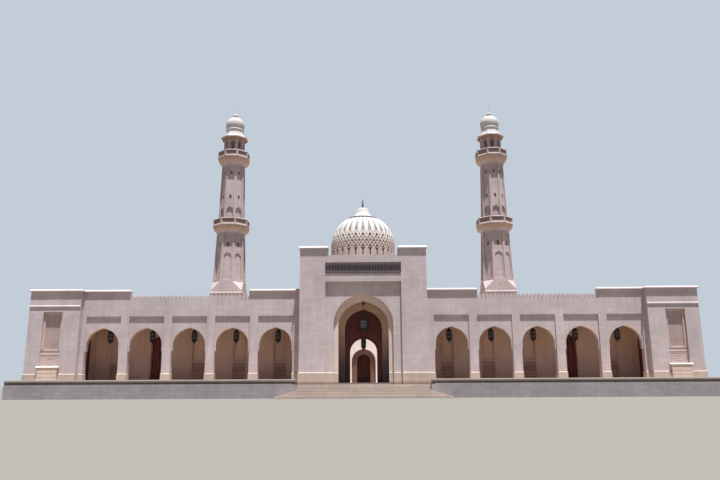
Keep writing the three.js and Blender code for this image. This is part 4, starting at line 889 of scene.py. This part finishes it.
for side_name, side in SIDES:
    centre = (side * MINARET_X, MINARET_Y, 0)
    ring = dict(first=centre, turn=EIGHTH)
    for stage_name, stage in STAGES.items():
        label = f"minaret_{stage_name}_{{}}_{side_name}".format
        build(label("balcony_rings"), placed(parapet_rings(stage), moved(*centre)), minaret_limestone,
              "wall_stone", replaces=(label("balcony"),))
        repeat(label("parapet"), parapet_side(stage), pierced_limestone, "wall_stone", 8, **ring)
        build(label("bowl"), placed(bowl(stage), moved(*centre)), corbel_sandstone, "wall_stone")
        repeat(label("brackets"), bowl_brackets(stage), corbel_sandstone, "wall_stone", 8, **ring)
    grilles = merge(*(slit_grille(*slit) for slit in SLITS))
    repeat(f"minaret_slit_grilles_{side_name}", grilles, pierced_limestone, "wall_stone", 8, **ring)
print("one balcony's parapet has", made["minaret_lower_parapet_left"], "triangles")

# %% [markdown]
# ## Heads of the minarets
# Over the upper balcony stands a small room with an arched opening in each of its eight sides. Its eave
# flares out over brackets of warm stone, and above it a pale drum carries a stilted dome with a knob and a
# needle. One side of the room is a board with an arch cut into it; the rest is turned work.

# %% Build the lantern rooms and their domes
ROOM_HALF, ROOM_WALL, ROOM_FOOT, ROOM_TOP = 1.39, 0.26, 35.35, 38.05
OPENING_HALF, OPENING_FOOT, OPENING_APEX = 0.3, ROOM_FOOT + 0.25, 37.85
CROWN_RADIUS, CROWN_SPRING, CROWN_TOP, CROWN_RINGS = 1.4, 40.75, 42.06, 14
EAVE = [(1.1, 38.02), (1.39, 38.02), (1.9, 38.4), (1.95, 38.42), (1.95, 38.52), (1.88, 38.56), (1.66, 38.66),
        (1.5, 38.84), (1.38, 39.12), (1.28, 39.46), (1.1, 39.46)]
SOFFIT = [(1.3, 38.0), (1.39, 38.0), (1.88, 38.37), (1.88, 38.41), (1.3, 38.1)]
BRACKET = [(1.38, 37.8), (1.46, 37.82), (1.56, 37.98), (1.72, 38.1), (1.84, 38.22), (1.86, 38.36),
           (1.38, 38.05)]
DRUM = [(1.1, 39.3), (1.22, 39.3), (1.24, 39.68), (1.3, 39.74), (1.36, 39.82), (1.37, 39.9), (1.3, 40.0),
        (1.26, 40.06), (1.34, 40.3), (1.39, 40.55)]
KNOB = [(0.16, 42.06), (0.18, 42.14), (0.36, 42.22), (0.4, 42.36), (0.32, 42.52), (0.12, 42.62),
        (0.07, 42.72), (0.13, 42.82), (0.06, 42.95), (0.045, 43.2), (0.014, 44.13)]
crown_turns = [math.pi / 2 * i / CROWN_RINGS for i in range(CROWN_RINGS)]
CROWN = [(CROWN_RADIUS * math.cos(a), CROWN_SPRING + (CROWN_TOP - CROWN_SPRING) * math.sin(a))
         for a in crown_turns]


def room_side():
    """One wall of the room with its opening, a frame round the opening and a slim shaft at the corner."""
    reach = half_side(ROOM_HALF)
    front, back = -ROOM_HALF, -ROOM_HALF + ROOM_WALL
    corner = ROOM_HALF / math.cos(EIGHTH / 2)
    return merge(
        block((-reach, reach), (front, back), (ROOM_FOOT, OPENING_FOOT)),
        arched_board(reach, OPENING_FOOT, ROOM_TOP, OPENING_HALF, OPENING_APEX, front, back, 8),
        arch_trim(OPENING_HALF, OPENING_APEX, 0.07, front - 0.03, front + 0.05, 0.02, OPENING_FOOT, 8),
        spun([(0.13, ROOM_FOOT), (0.13, ROOM_FOOT + 0.15), (0.09, ROOM_FOOT + 0.2), (0.09, ROOM_TOP - 0.25),
              (0.14, ROOM_TOP - 0.1), (0.14, ROOM_TOP)], 10,
             (math.sin(EIGHTH / 2) * corner, -math.cos(EIGHTH / 2) * corner, 0)))


eave_bracket = loft([[(x, -r, z) for r, z in BRACKET] for x in (-0.06, 0.06)])
two_brackets = merge(eave_bracket, placed(eave_bracket, turned(EIGHTH / 2)))
for side_name, side in SIDES:
    centre = (side * MINARET_X, MINARET_Y, 0)
    ring = dict(first=centre, turn=EIGHTH)
    repeat(f"minaret_room_{side_name}", room_side(), minaret_limestone, "wall_stone", 8,
           replaces=(f"minaret_lantern_room_{side_name}",), **ring)
    build(f"minaret_eave_{side_name}", octagonal(EAVE, centre, closed=True), crown_limestone, "wall_stone")
    build(f"minaret_eave_soffit_{side_name}", octagonal(SOFFIT, centre, closed=True), eave_sandstone,
          "wall_stone")
    repeat(f"minaret_eave_brackets_{side_name}", two_brackets, eave_sandstone, "wall_stone", 8, **ring)
    build(f"minaret_crown_{side_name}", spun(DRUM + CROWN + KNOB, 48, centre), crown_limestone, "wall_stone",
          smooth=40)
print("one minaret's room has", made["minaret_room_left"], "triangles")

# %% [markdown]
# ## The portal
# Behind the great arch a teak screen closes the porch, with one tall doorway in it. A joiner would frame it:
# stiles and rails first, then thin boards between them, then a lattice above. The same order is kept here.
# The frame stands proud of the boards, and the doorway's head has a moulding.

# %% Join the teak screen and dress the portal
SCREEN_FRONT, SCREEN_HALF, SCREEN_TOP = 2.4, 2.9, 11.9
FIELD = SCREEN_FRONT + 0.08  # the face of the thin boards
DOOR_HALF, DOOR_APEX, TRANSOM = 1.8, 7.7, 8.05
COLUMNS, ROWS = 11, 9

stiles = [block((x - 0.07, x + 0.07), (SCREEN_FRONT, FIELD), (FLOOR, SCREEN_TOP)) for _, side in SIDES
          for x in (side * (DOOR_HALF + 0.42), side * (SCREEN_HALF - 0.08))]
rails = [block((-SCREEN_HALF, SCREEN_HALF), (SCREEN_FRONT + 0.01, FIELD), (z, z + 0.16))
         for z in (TRANSOM, SCREEN_TOP - 0.2)]
teak_screen = merge(
    arched_board(SCREEN_HALF, FLOOR, SCREEN_TOP, DOOR_HALF, DOOR_APEX, FIELD, SCREEN_FRONT + 0.25),
    arch_trim(DOOR_HALF, DOOR_APEX, 0.2, SCREEN_FRONT, FIELD, 0.03),
    arch_trim(DOOR_HALF + 0.24, DOOR_APEX + 0.24, 0.06, SCREEN_FRONT + 0.03, FIELD, 0.02), *stiles, *rails)
build("portal_screen_frame", teak_screen, teak, "teak", replaces=("portal_screen",))
lattice("portal_screen_lattice", teak, "teak", 2.3, 8.21, 11.7, COLUMNS, ROWS, 0.045, SCREEN_FRONT + 0.03,
        FIELD)

HALL_FRONT, LINING_FRONT, LINING_TOP = 57.9, 63.28, 9.5
build("hall_door_moulding", arch_trim(1.45, 8.07, 0.22, HALL_FRONT - 0.12, HALL_FRONT, 0.04), hall_sandstone,
      "wall_stone")
# The far hall looks dark red through its doorway, so its rear wall gets a lining of framed teak boards: a
# dark sheet that paints the shade deep in the hall.
battens = [block((x - 0.08, x + 0.08), (LINING_FRONT - 0.08, LINING_FRONT), (FLOOR, LINING_TOP))
           for x in (-3.2, -1.6, 0, 1.6, 3.2)]
lining = block((-4.0, 4.0), (LINING_FRONT, 63.4), (FLOOR, LINING_TOP))
build("hall_lining", merge(lining, *battens), teak, "teak")
# The inner order of the great arch is faced with a paler stone, which fits between its two arch lines.
ORDER_FACE = -0.96
arch_lines = zip(arch_line(3.27, FLOOR, 12.36), arch_line(3.85, FLOOR, 13.28))
facing = [[(a[0], ORDER_FACE - 0.02, a[1]), (b[0], ORDER_FACE - 0.02, b[1]), (b[0], ORDER_FACE, b[1]),
           (a[0], ORDER_FACE, a[1])] for a, b in arch_lines]
build("portal_order_facing", loft(facing), pale_limestone, "wall_stone")
# One low step lies across the porch between the jambs of its arch.
build("porch_step", block((-3.24, 3.24), (-0.94, 1.78), (FLOOR, 1.84)), kerb_limestone, "step_marble")
print("screen lattice", COLUMNS, "by", ROWS, "cells")

# %% [markdown]
# ## The band over the arch
# A dark bronze band runs over the portal's arch. It is plain strapwork: slim lozenge rings that overlap like
# links, an upright between them, and small studs, between two rails. One unit of it is drawn and the tree
# sets out the row.

# %% Cast the bronze band
BAND_FRONT, BAND_FACE, BAND_HALF = -1.88, -1.8, 4.95
BAND_FOOT, BAND_TOP = 15.9, 17.3
BAND_UNITS = 24
END_GAP = 0.31  # from the band's end to the middle of the last lozenge


def lozenge(x, half_wide, half_high, wide, front=BAND_FRONT):
    """A ring on a lozenge, at half the band's height."""
    z = (BAND_FOOT + BAND_TOP) / 2
    line = [(x, z - half_high), (x - half_wide, z), (x, z + half_high), (x + half_wide, z)]
    return strip(line, wide, front, BAND_FACE, 0.012, closed=True)


half_unit = BAND_HALF / BAND_UNITS
band_unit = merge(
    lozenge(0, 0.27, 0.5, 0.07),
    lozenge(0, 0.12, 0.2, 0.05, BAND_FRONT + 0.01),
    bar((half_unit, BAND_FOOT + 0.1), (half_unit, BAND_TOP - 0.1), 0.06, BAND_FRONT + 0.02, BAND_FACE),
    lozenge(half_unit, 0.06, 0.09, 0.06))
repeat("portal_band_strapwork", band_unit, bronze, "dark_bronze", BAND_UNITS, columns=BAND_UNITS,
       first=(END_GAP - BAND_HALF, 0, 0), across=(2 * (BAND_HALF - END_GAP) / (BAND_UNITS - 1), 0, 0),
       replaces=("portal_band",))
band_rails = [strip([(-BAND_HALF, z), (BAND_HALF, z)], 0.1, BAND_FRONT, BAND_FACE, 0.02)
              for z in (BAND_TOP, BAND_FOOT + 0.1)]
band_ends = [block((x - 0.05, x + 0.05), (BAND_FRONT, BAND_FACE), (BAND_FOOT, BAND_TOP))
             for x in (0.05 - BAND_HALF, BAND_HALF - 0.05)]
build("portal_band_rails", merge(*band_rails, *band_ends), bronze, "dark_bronze")
print("band", made["portal_band_strapwork"] + made["portal_band_rails"], "triangles")

# %% [markdown]
# ## Lanterns
# A lantern is glass in a metal cage. The glass is one turned body and the cage is ribs and rings just outside
# it, so that light catches the edges. The big one in the porch has two tiers, a glazed one over a slim
# pierced one; the ten in the wings have one. Each hangs on a chain of eight-cornered links that the tree
# stacks, and in the big lantern's chain every link is also turned a quarter.

# %% Make chains and cages
LINK_HIGH = 0.17


def chain_link(wide=0.1, thick=0.022):
    """An oval link of eight corners, standing upright."""
    line = [(wide / 2 * math.cos(a), (LINK_HIGH / 2 + 0.02) * math.sin(a))
            for a in (math.tau * (i + 0.5) / 8 for i in range(8))]
    section = [(0, -thick), (0, thick), (2 * thick, thick), (2 * thick, -thick)]
    return moulding(line[::-1], section, closed=True)


def chain(name, links, y, low, high, turn=0.0):
    """Links stacked between two heights."""
    count = int((high - low) / LINK_HIGH)
    repeat(name, links, iron_paint, "lantern_iron", count, first=(0, y, low + LINK_HIGH / 2),
           up=(0, 0, (high - low) / count), turn=turn)


def cage(centre, sides, levels, rib=0.035):
    """Rings at given (radius, height) levels and ribs that join them at the corners."""
    half = rib / 2
    rings = [spun([(r - rib, z - rib), (r + rib, z - rib), (r + rib, z + rib), (r - rib, z + rib)], sides,
                  centre, closed=True) for r, z in levels]
    ribs = [loft([[(-half, r - half, z), (half, r - half, z), (half, r + half, z), (-half, r + half, z)]
                  for r, z in ends]) for ends in zip(levels, levels[1:])]
    corners = [moved(*centre) @ turned(math.tau * (i + 0.5) / sides - math.pi / 2) for i in range(sides)]
    return merge(*rings, *(placed(upright, corner) for upright in ribs for corner in corners))


# %% Hang the big lantern
LANTERN_Y = 0.6
CHAIN_FOOT, CHAIN_HEAD = 11.0, 11.95
GLASS = [(0.3, 8.85), (0.46, 8.92), (0.5, 9.1), (0.5, 9.85), (0.44, 9.98), (0.2, 10.02)]
CROWN_CAP = [(0.5, 9.86), (0.58, 9.92), (0.56, 10.02), (0.44, 10.22), (0.26, 10.42), (0.18, 10.62),
             (0.24, 10.74), (0.1, 10.9), (0.05, 11.05)]
LOWER_BODY = [(0.03, 5.82), (0.1, 5.9), (0.05, 6.02), (0.12, 6.12), (0.3, 6.32), (0.31, 7.5), (0.2, 7.66),
              (0.1, 7.76), (0.12, 8.3), (0.2, 8.45), (0.48, 8.62), (0.5, 8.74), (0.44, 8.84), (0.3, 8.88)]
ROSE = [(0.05, 11.95), (0.14, 12.0), (0.22, 12.12), (0.22, 12.2), (0.1, 12.26), (0.05, 12.3)]
hang = (0, LANTERN_Y, 0)
build("portal_lantern_glass", spun(GLASS, 12, hang), lantern_glass, "lantern_iron", smooth=20)
ironwork = merge(
    cage(hang, 12, [(0.42, 8.8), (0.53, 9.02), (0.54, 9.45), (0.53, 9.88)]), spun(CROWN_CAP, 24, hang),
    spun(LOWER_BODY, 12, hang), cage(hang, 12, [(0.31, 6.34), (0.33, 6.9), (0.32, 7.48)], 0.03),
    spun(ROSE, 20, hang))
build("portal_lantern_iron", ironwork, iron_paint, "lantern_iron", replaces=("portal_lantern",), smooth=35)
chain("portal_lantern_chain", chain_link(), LANTERN_Y, CHAIN_FOOT, CHAIN_HEAD, math.pi / 2)
print("the big lantern has", made["portal_lantern_iron"], "triangles")

# %% Hang five lanterns in each wing
BAYS = [11.56 + 5.68 * i for i in range(5)]
ROW_Y, TIP, RAIL_FOOT, CEILING = 2.9, 7.0, 11.5, 11.65
LOOP = TIP + 2.1
PANES = [(0.2, 0.5), (0.28, 0.6), (0.28, 1.6), (0.2, 1.68)]
TAIL = [(0.02, 0), (0.07, 0.08), (0.05, 0.16), (0.12, 0.26), (0.24, 0.42), (0.22, 0.54)]
HOOD = [(0.3, 1.6), (0.36, 1.66), (0.26, 1.8), (0.12, 1.9), (0.14, 1.98), (0.03, 2.1)]
CAGE = [(0.24, 0.45), (0.33, 0.6), (0.34, 1.1), (0.33, 1.62)]
for side_name, side in SIDES:
    spots = [(side * bay, ROW_Y, TIP) for bay in BAYS]
    build(f"wing_lantern_glass_{side_name}", copies(spun(PANES, 6), spots), lantern_glass, "lantern_iron")
    iron = merge(cage((0, 0, 0), 6, CAGE, 0.07), spun(TAIL, 12), spun(HOOD, 12))
    rail = block((side * (BAYS[2] - 11.86), side * (BAYS[2] + 11.86)), (ROW_Y - 0.06, ROW_Y + 0.06),
                 (RAIL_FOOT, CEILING))
    build(f"wing_lantern_iron_{side_name}", merge(copies(iron, spots), rail), iron_paint, "lantern_iron",
          replaces=(f"lantern_row_{side_name}",))
    row_of_links = copies(chain_link(0.09, 0.02), [(side * bay, 0, 0) for bay in BAYS])
    chain(f"wing_lantern_chains_{side_name}", row_of_links, ROW_Y, LOOP, RAIL_FOOT)
print("one row's chains have", made["wing_lantern_chains_left"], "triangles")

# %% [markdown]
# ## Niches behind the arches
# In each bay the wall behind the arch has a tall niche. Its lower part is a dark screen with three rails
# under a pale ledge, and above the ledge is a plain panel with a frame. All the niches of one wall share the
# same grid, so one seed carries a crossed pair of bars for each of them.

# %% Fill the loggia niches
NICHE_FACE, NICHE_BACK = 5.6, 5.9
NICHE_HALF, NICHE_TOP, NICHE_FRAME = 0.95, 8.4, 0.12
NICHE_INNER = NICHE_HALF - NICHE_FRAME
GRILLE = (2.0, 4.6)
GRILLE_COLUMNS, GRILLE_ROWS = 6, 9
DOOR_BAY = BAYS[3]


def corners(half, low, high):
    """The corners of an upright panel about x = 0, from the right foot round to the left foot."""
    return [(half, low), (half, high), (-half, high), (-half, low)]


def loggia_niche():
    """Frame, framed panel, ledge, sill and rails of one niche about x = 0."""
    return merge(
        strip(corners(NICHE_INNER, FLOOR, NICHE_TOP - NICHE_FRAME), NICHE_FRAME, NICHE_FACE + 0.06,
              NICHE_BACK, 0.03),
        strip(corners(NICHE_INNER - 0.22, 5.2, 8.0), 0.08, NICHE_BACK - 0.06, NICHE_BACK, 0.02, closed=True),
        block((-NICHE_HALF, NICHE_HALF), (NICHE_FACE - 0.04, NICHE_BACK), (GRILLE[1], 4.8)),
        block((-NICHE_HALF, NICHE_HALF), (NICHE_FACE - 0.04, NICHE_BACK), (FLOOR, GRILLE[0])),
        *(block((-NICHE_INNER, NICHE_INNER), (NICHE_BACK - 0.14, NICHE_BACK), (z, z + 0.13))
          for z in (4.22, 3.12, 2.7)))


wide, tall = 2 * NICHE_INNER / GRILLE_COLUMNS, (GRILLE[1] - GRILLE[0]) / GRILLE_ROWS
niche_cell = crossing(wide, tall, 0.07, NICHE_BACK - 0.09, NICHE_BACK - 0.03)
backing = block((-NICHE_INNER, NICHE_INNER), (NICHE_BACK - 0.03, NICHE_BACK), GRILLE)
for side_name, side in SIDES:
    niches = [(side * bay, 0, 0) for bay in BAYS if bay != DOOR_BAY]
    build(f"loggia_niches_{side_name}", copies(loggia_niche(), niches), loggia_plaster, "loggia_plaster")
    repeat(f"loggia_grilles_{side_name}", copies(niche_cell, niches), niche_plaster, "loggia_plaster",
           GRILLE_COLUMNS * GRILLE_ROWS, columns=GRILLE_COLUMNS, first=(-NICHE_INNER, 0, GRILLE[0]),
           across=(wide, 0, 0), up=(0, 0, tall))
    build(f"loggia_niche_backs_{side_name}", copies(backing, niches), niche_plaster, "loggia_plaster")
    # The fourth bay has the doorway, which gets an arched architrave, and so has the wall into the pavilion.
    architrave = arch_trim(0.93, 8.3, 0.2, NICHE_FACE - 0.06, NICHE_FACE, 0.03, centre=side * DOOR_BAY)
    build(f"loggia_door_frame_{side_name}", architrave, loggia_plaster, "loggia_plaster")
    end_wall = frame_at(side * 37.1, 0, 1 if side > 0 else 3)
    end_frame = arch_trim(1.5, 8.5, 0.24, -0.07, 0, 0.03, centre=side * 3.25)
    build(f"pavilion_door_frame_{side_name}", placed(end_frame, end_wall), loggia_plaster, "loggia_plaster")
print("niches and grilles", made["loggia_niches_left"] + made["loggia_grilles_left"], "triangles a wing")

# %% [markdown]
# ## Niches of the corner pavilions
# Each pavilion has a tall niche in front and one in its flank. Inside the niche a second, narrower frame
# holds a screen in low relief; two pale ledges part it from a panel below, and a marble sill on a proud block
# of masonry closes it. The sill's nose slopes, and that slope is what catches a high sun. The niche is drawn
# once in the wall's own frame and placed on all four faces.

# %% Fill the pavilion niches
P_HALF, P_DEEP, P_TOP = 1.25, 0.44, 11.1
P_SILL, P_LEDGE, P_FIELD = 4.1, 6.28, 0.09
P_INNER = P_HALF - 0.3
FIELD_FACE = P_DEEP - P_FIELD
PANELS = ((0.95, 0.15), (0.45, 0.42))  # half the width of a panel, and how far it keeps from its ledges
COURSES = ((FLOOR, 2.12), (2.18, 2.64), (2.7, 3.16), (3.22, P_SILL - 0.17))
SILL = [(-0.37, P_SILL - 0.18), (0.02, P_SILL - 0.18), (0.02, P_SILL + 0.01), (-0.23, P_SILL + 0.01),
        (-0.37, P_SILL - 0.13)]
FACES = {}
for side_name, side in SIDES:
    FACES[f"front_{side_name}"] = frame_at(side * 40.65, -0.85, 0)
    FACES[f"flank_{side_name}"] = frame_at(side * 43.8, 2.675, 1 if side > 0 else 3)

# Inner frame, transom and framed panels, with the wall's face at y = 0.
pavilion_niche = merge(
    strip(corners(P_INNER, P_LEDGE, P_TOP - 0.3), 0.3, 0.26, P_DEEP, 0.04),
    block((-P_INNER, P_INNER), (P_DEEP - 0.02, P_DEEP), (7.6, 7.72)),
    block((-P_HALF, P_HALF), (P_DEEP - 0.008, P_DEEP), (P_LEDGE, P_TOP)),
    block((-P_HALF, P_HALF), (FIELD_FACE, P_DEEP), (P_SILL, P_LEDGE - 0.21)),
    *(strip(corners(half, P_SILL + gap, 5.5 - gap), 0.08, FIELD_FACE - 0.02, FIELD_FACE, 0.005, closed=True)
      for half, gap in PANELS))
# The two ledges in a niche, and the coursed masonry under its sill.
ledges_and_block = merge(
    block((-P_HALF, P_HALF), (FIELD_FACE - 0.04, P_DEEP), (P_LEDGE - 0.22, P_LEDGE + 0.01)),
    block((-P_HALF, P_HALF), (FIELD_FACE - 0.03, P_DEEP), (5.6, 5.78)),
    block((-P_HALF, P_HALF), (-0.25, 0.02), (FLOOR, P_SILL - 0.17)),
    *(block((-P_HALF - 0.02, P_HALF + 0.02), (-0.3, 0.02), course) for course in COURSES))
marble_sill = extruded(SILL, P_HALF + 0.22)
for face_name, wall in FACES.items():
    build(f"pavilion_niche_{face_name}", placed(pavilion_niche, wall), panel_limestone, "wall_stone")
    build(f"pavilion_ledges_{face_name}", placed(ledges_and_block, wall), pale_limestone, "wall_stone")
    build(f"pavilion_sill_{face_name}", placed(marble_sill, wall), white_marble, "wall_stone")
    lattice(f"pavilion_grille_{face_name}", panel_limestone, "wall_stone", P_INNER, P_LEDGE, P_TOP - 0.3,
            6, 14, 0.06, P_DEEP - 0.03, P_DEEP, wall)
print("a pavilion's grille has", made["pavilion_grille_front_left"], "triangles")

# %% [markdown]
# ## Edges of the steps and the terrace
# From far away a flight of steps shows as a few level lines, the shadows under the noses of the treads. Under
# every second tread that shadow is painted as a thin dark strip that follows the flight round its corners. A
# slab edge in the steps' own marble closes the landing, and a low footing runs under the terrace kerb.

# %% Lay the painted shadow strips of the steps and the terrace edge
STEP_COUNT, WRAPPED = 9, 5
RISER, TREAD, SIDE_TREAD = FLOOR / 10, 0.5, 0.48
LANDING, TERRACE_EDGE, STEP_HALF = -2.5, -4.5, 8.3
GAP, PROUD, STRIP = 0.024, 0.004, 0.03
FOOTING_X, FOOTING_HALF = 26.45, 17.7
shadow_strips = []
for step in (2, 4, 6, 8):
    foot = (step - 1) * RISER
    nose = LANDING - (STEP_COUNT + 1 - step) * TREAD
    half = STEP_HALF + max(WRAPPED + 1 - step, 0) * SIDE_TREAD + PROUD
    shadow_strips.append(block((-half, half), (nose - PROUD, nose + STRIP), (foot, foot + GAP)))
    if step <= WRAPPED:
        shadow_strips += [block((low, low + STRIP), (nose, TERRACE_EDGE), (foot, foot + GAP))
                 for low in (-half, half - STRIP)]
build("step_shadow_strips", merge(*shadow_strips), step_shadow_paint, "step_marble")
landing = block((-STEP_HALF, STEP_HALF), (LANDING - 0.012, LANDING + 0.3), (FLOOR - RISER, FLOOR + 0.01))
build("landing_edge", landing, step_marble, "step_marble")
footing = block((-FOOTING_HALF, FOOTING_HALF), (TERRACE_EDGE, TERRACE_EDGE + 0.16), (FLOOR, FLOOR + 0.1))
build("terrace_footing", copies(footing, [(side * FOOTING_X, 0, 0) for _, side in SIDES]), podium_marble,
      "podium_marble")
print("steps and edges", made["step_shadow_strips"] + made["landing_edge"] + made["terrace_footing"], "triangles")

# %% [markdown]
# ## Door leaves
# Ten leaves turn on upright pivots. Each is framed and panelled: a sheet of board, stiles and rails on both
# faces, and between them raised fields with slanting edges. A leaf is drawn lying along its own wall from the
# pivot outwards, its size is read from its solid, and it rides on its own body.

# %% Join the door leaves
STILE, MUNTIN = 0.12, 0.1
POST, MARGIN = 0.05, 0.05


def raised_field(wide, tall, deep):
    """A field whose edges slope back, standing out from y = 0 by `deep`."""
    slope = min(wide, tall) * 0.18
    low = [(x, 0, z) for x, z in ((-wide / 2, -tall / 2), (wide / 2, -tall / 2), (wide / 2, tall / 2),
                                  (-wide / 2, tall / 2))]
    return loft([low, [(x - math.copysign(slope, x), -deep, z - math.copysign(slope, z)) for x, _, z in low]])


def door_leaf(length, foot, top, thick):
    """Sheet, stiles and rails from x = 0 to `length`, with the middle of the leaf at y = 0."""
    core, face = thick * 0.28, thick / 2
    rails = [foot, foot + 0.28, foot + 1.05, foot + 1.2, top - 1.5, top - 1.38, top - 0.16, top]
    uprights = ((0, STILE), (length - STILE, length), ((length - MUNTIN) / 2, (length + MUNTIN) / 2))
    shapes = [block((0, length), (-core, core), (foot, top))]
    shapes += [block((0, length), (-face, face), limits) for limits in zip(rails[::2], rails[1::2])]
    shapes += [block(limits, (-face, face), (foot, top)) for limits in uprights]
    field_wide = (length - 2 * STILE - MUNTIN) / 2 - 0.06
    for low, high in zip(rails[1::2], rails[2::2]):
        count = max(1, round((high - low) / 1.4))
        tall = (high - low) / count
        field = placed(raised_field(field_wide, tall - 0.08, face - core - 0.004), moved(0, -core))
        for i in range(count):
            for x in (STILE + field_wide / 2 + 0.03, length - STILE - field_wide / 2 - 0.03):
                spot = moved(x, 0, low + (i + 0.5) * tall)
                shapes += [placed(field, spot), placed(field, spot @ turned(math.pi))]
    return merge(*shapes)


hinge_at = {joint["child"]: TO_REAL @ Vector(joint["pos_m"]) for joint in frame["joints"]}
for name in sorted(hinge_at):
    low, high = (TO_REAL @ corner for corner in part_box(name))
    pin = hinge_at[name]
    along, across = (0, 1) if high.x - low.x > high.y - low.y else (1, 0)
    near, far = pin[along] - low[along], high[along] - pin[along]
    # The sheet is the part of the box that the pivot post doesn't fill, on the far side of the pin.
    front, back = low[across], high[across]
    if back - pin[across] < pin[across] - front:
        back -= POST
    else:
        front += POST
    middle = (front + back) / 2
    leaf = door_leaf(max(near, far), FLOOR + MARGIN, high.z - MARGIN, back - front)
    if along == 0:
        spot = moved(pin.x, middle) @ turned(0 if far > near else math.pi)
    else:
        spot = moved(middle, pin.y) @ turned(math.pi / 2 if far > near else -math.pi / 2)
    pivot = spun([(0.045, low.z), (0.05, low.z + 0.03), (0.05, high.z - 0.03), (0.045, high.z)], 12,
                 (pin.x, pin.y, 0))
    build(f"{name}_joinery", merge(placed(leaf, spot), pivot), teak, "teak", replaces=(name,), body=name)
print("one leaf has", made["portal_leaf_left_joinery"], "triangles")
print("all pieces together:", sum(made.values()), "triangles in", len(made), "pieces")

# %% Read the bounds of the model
low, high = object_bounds()
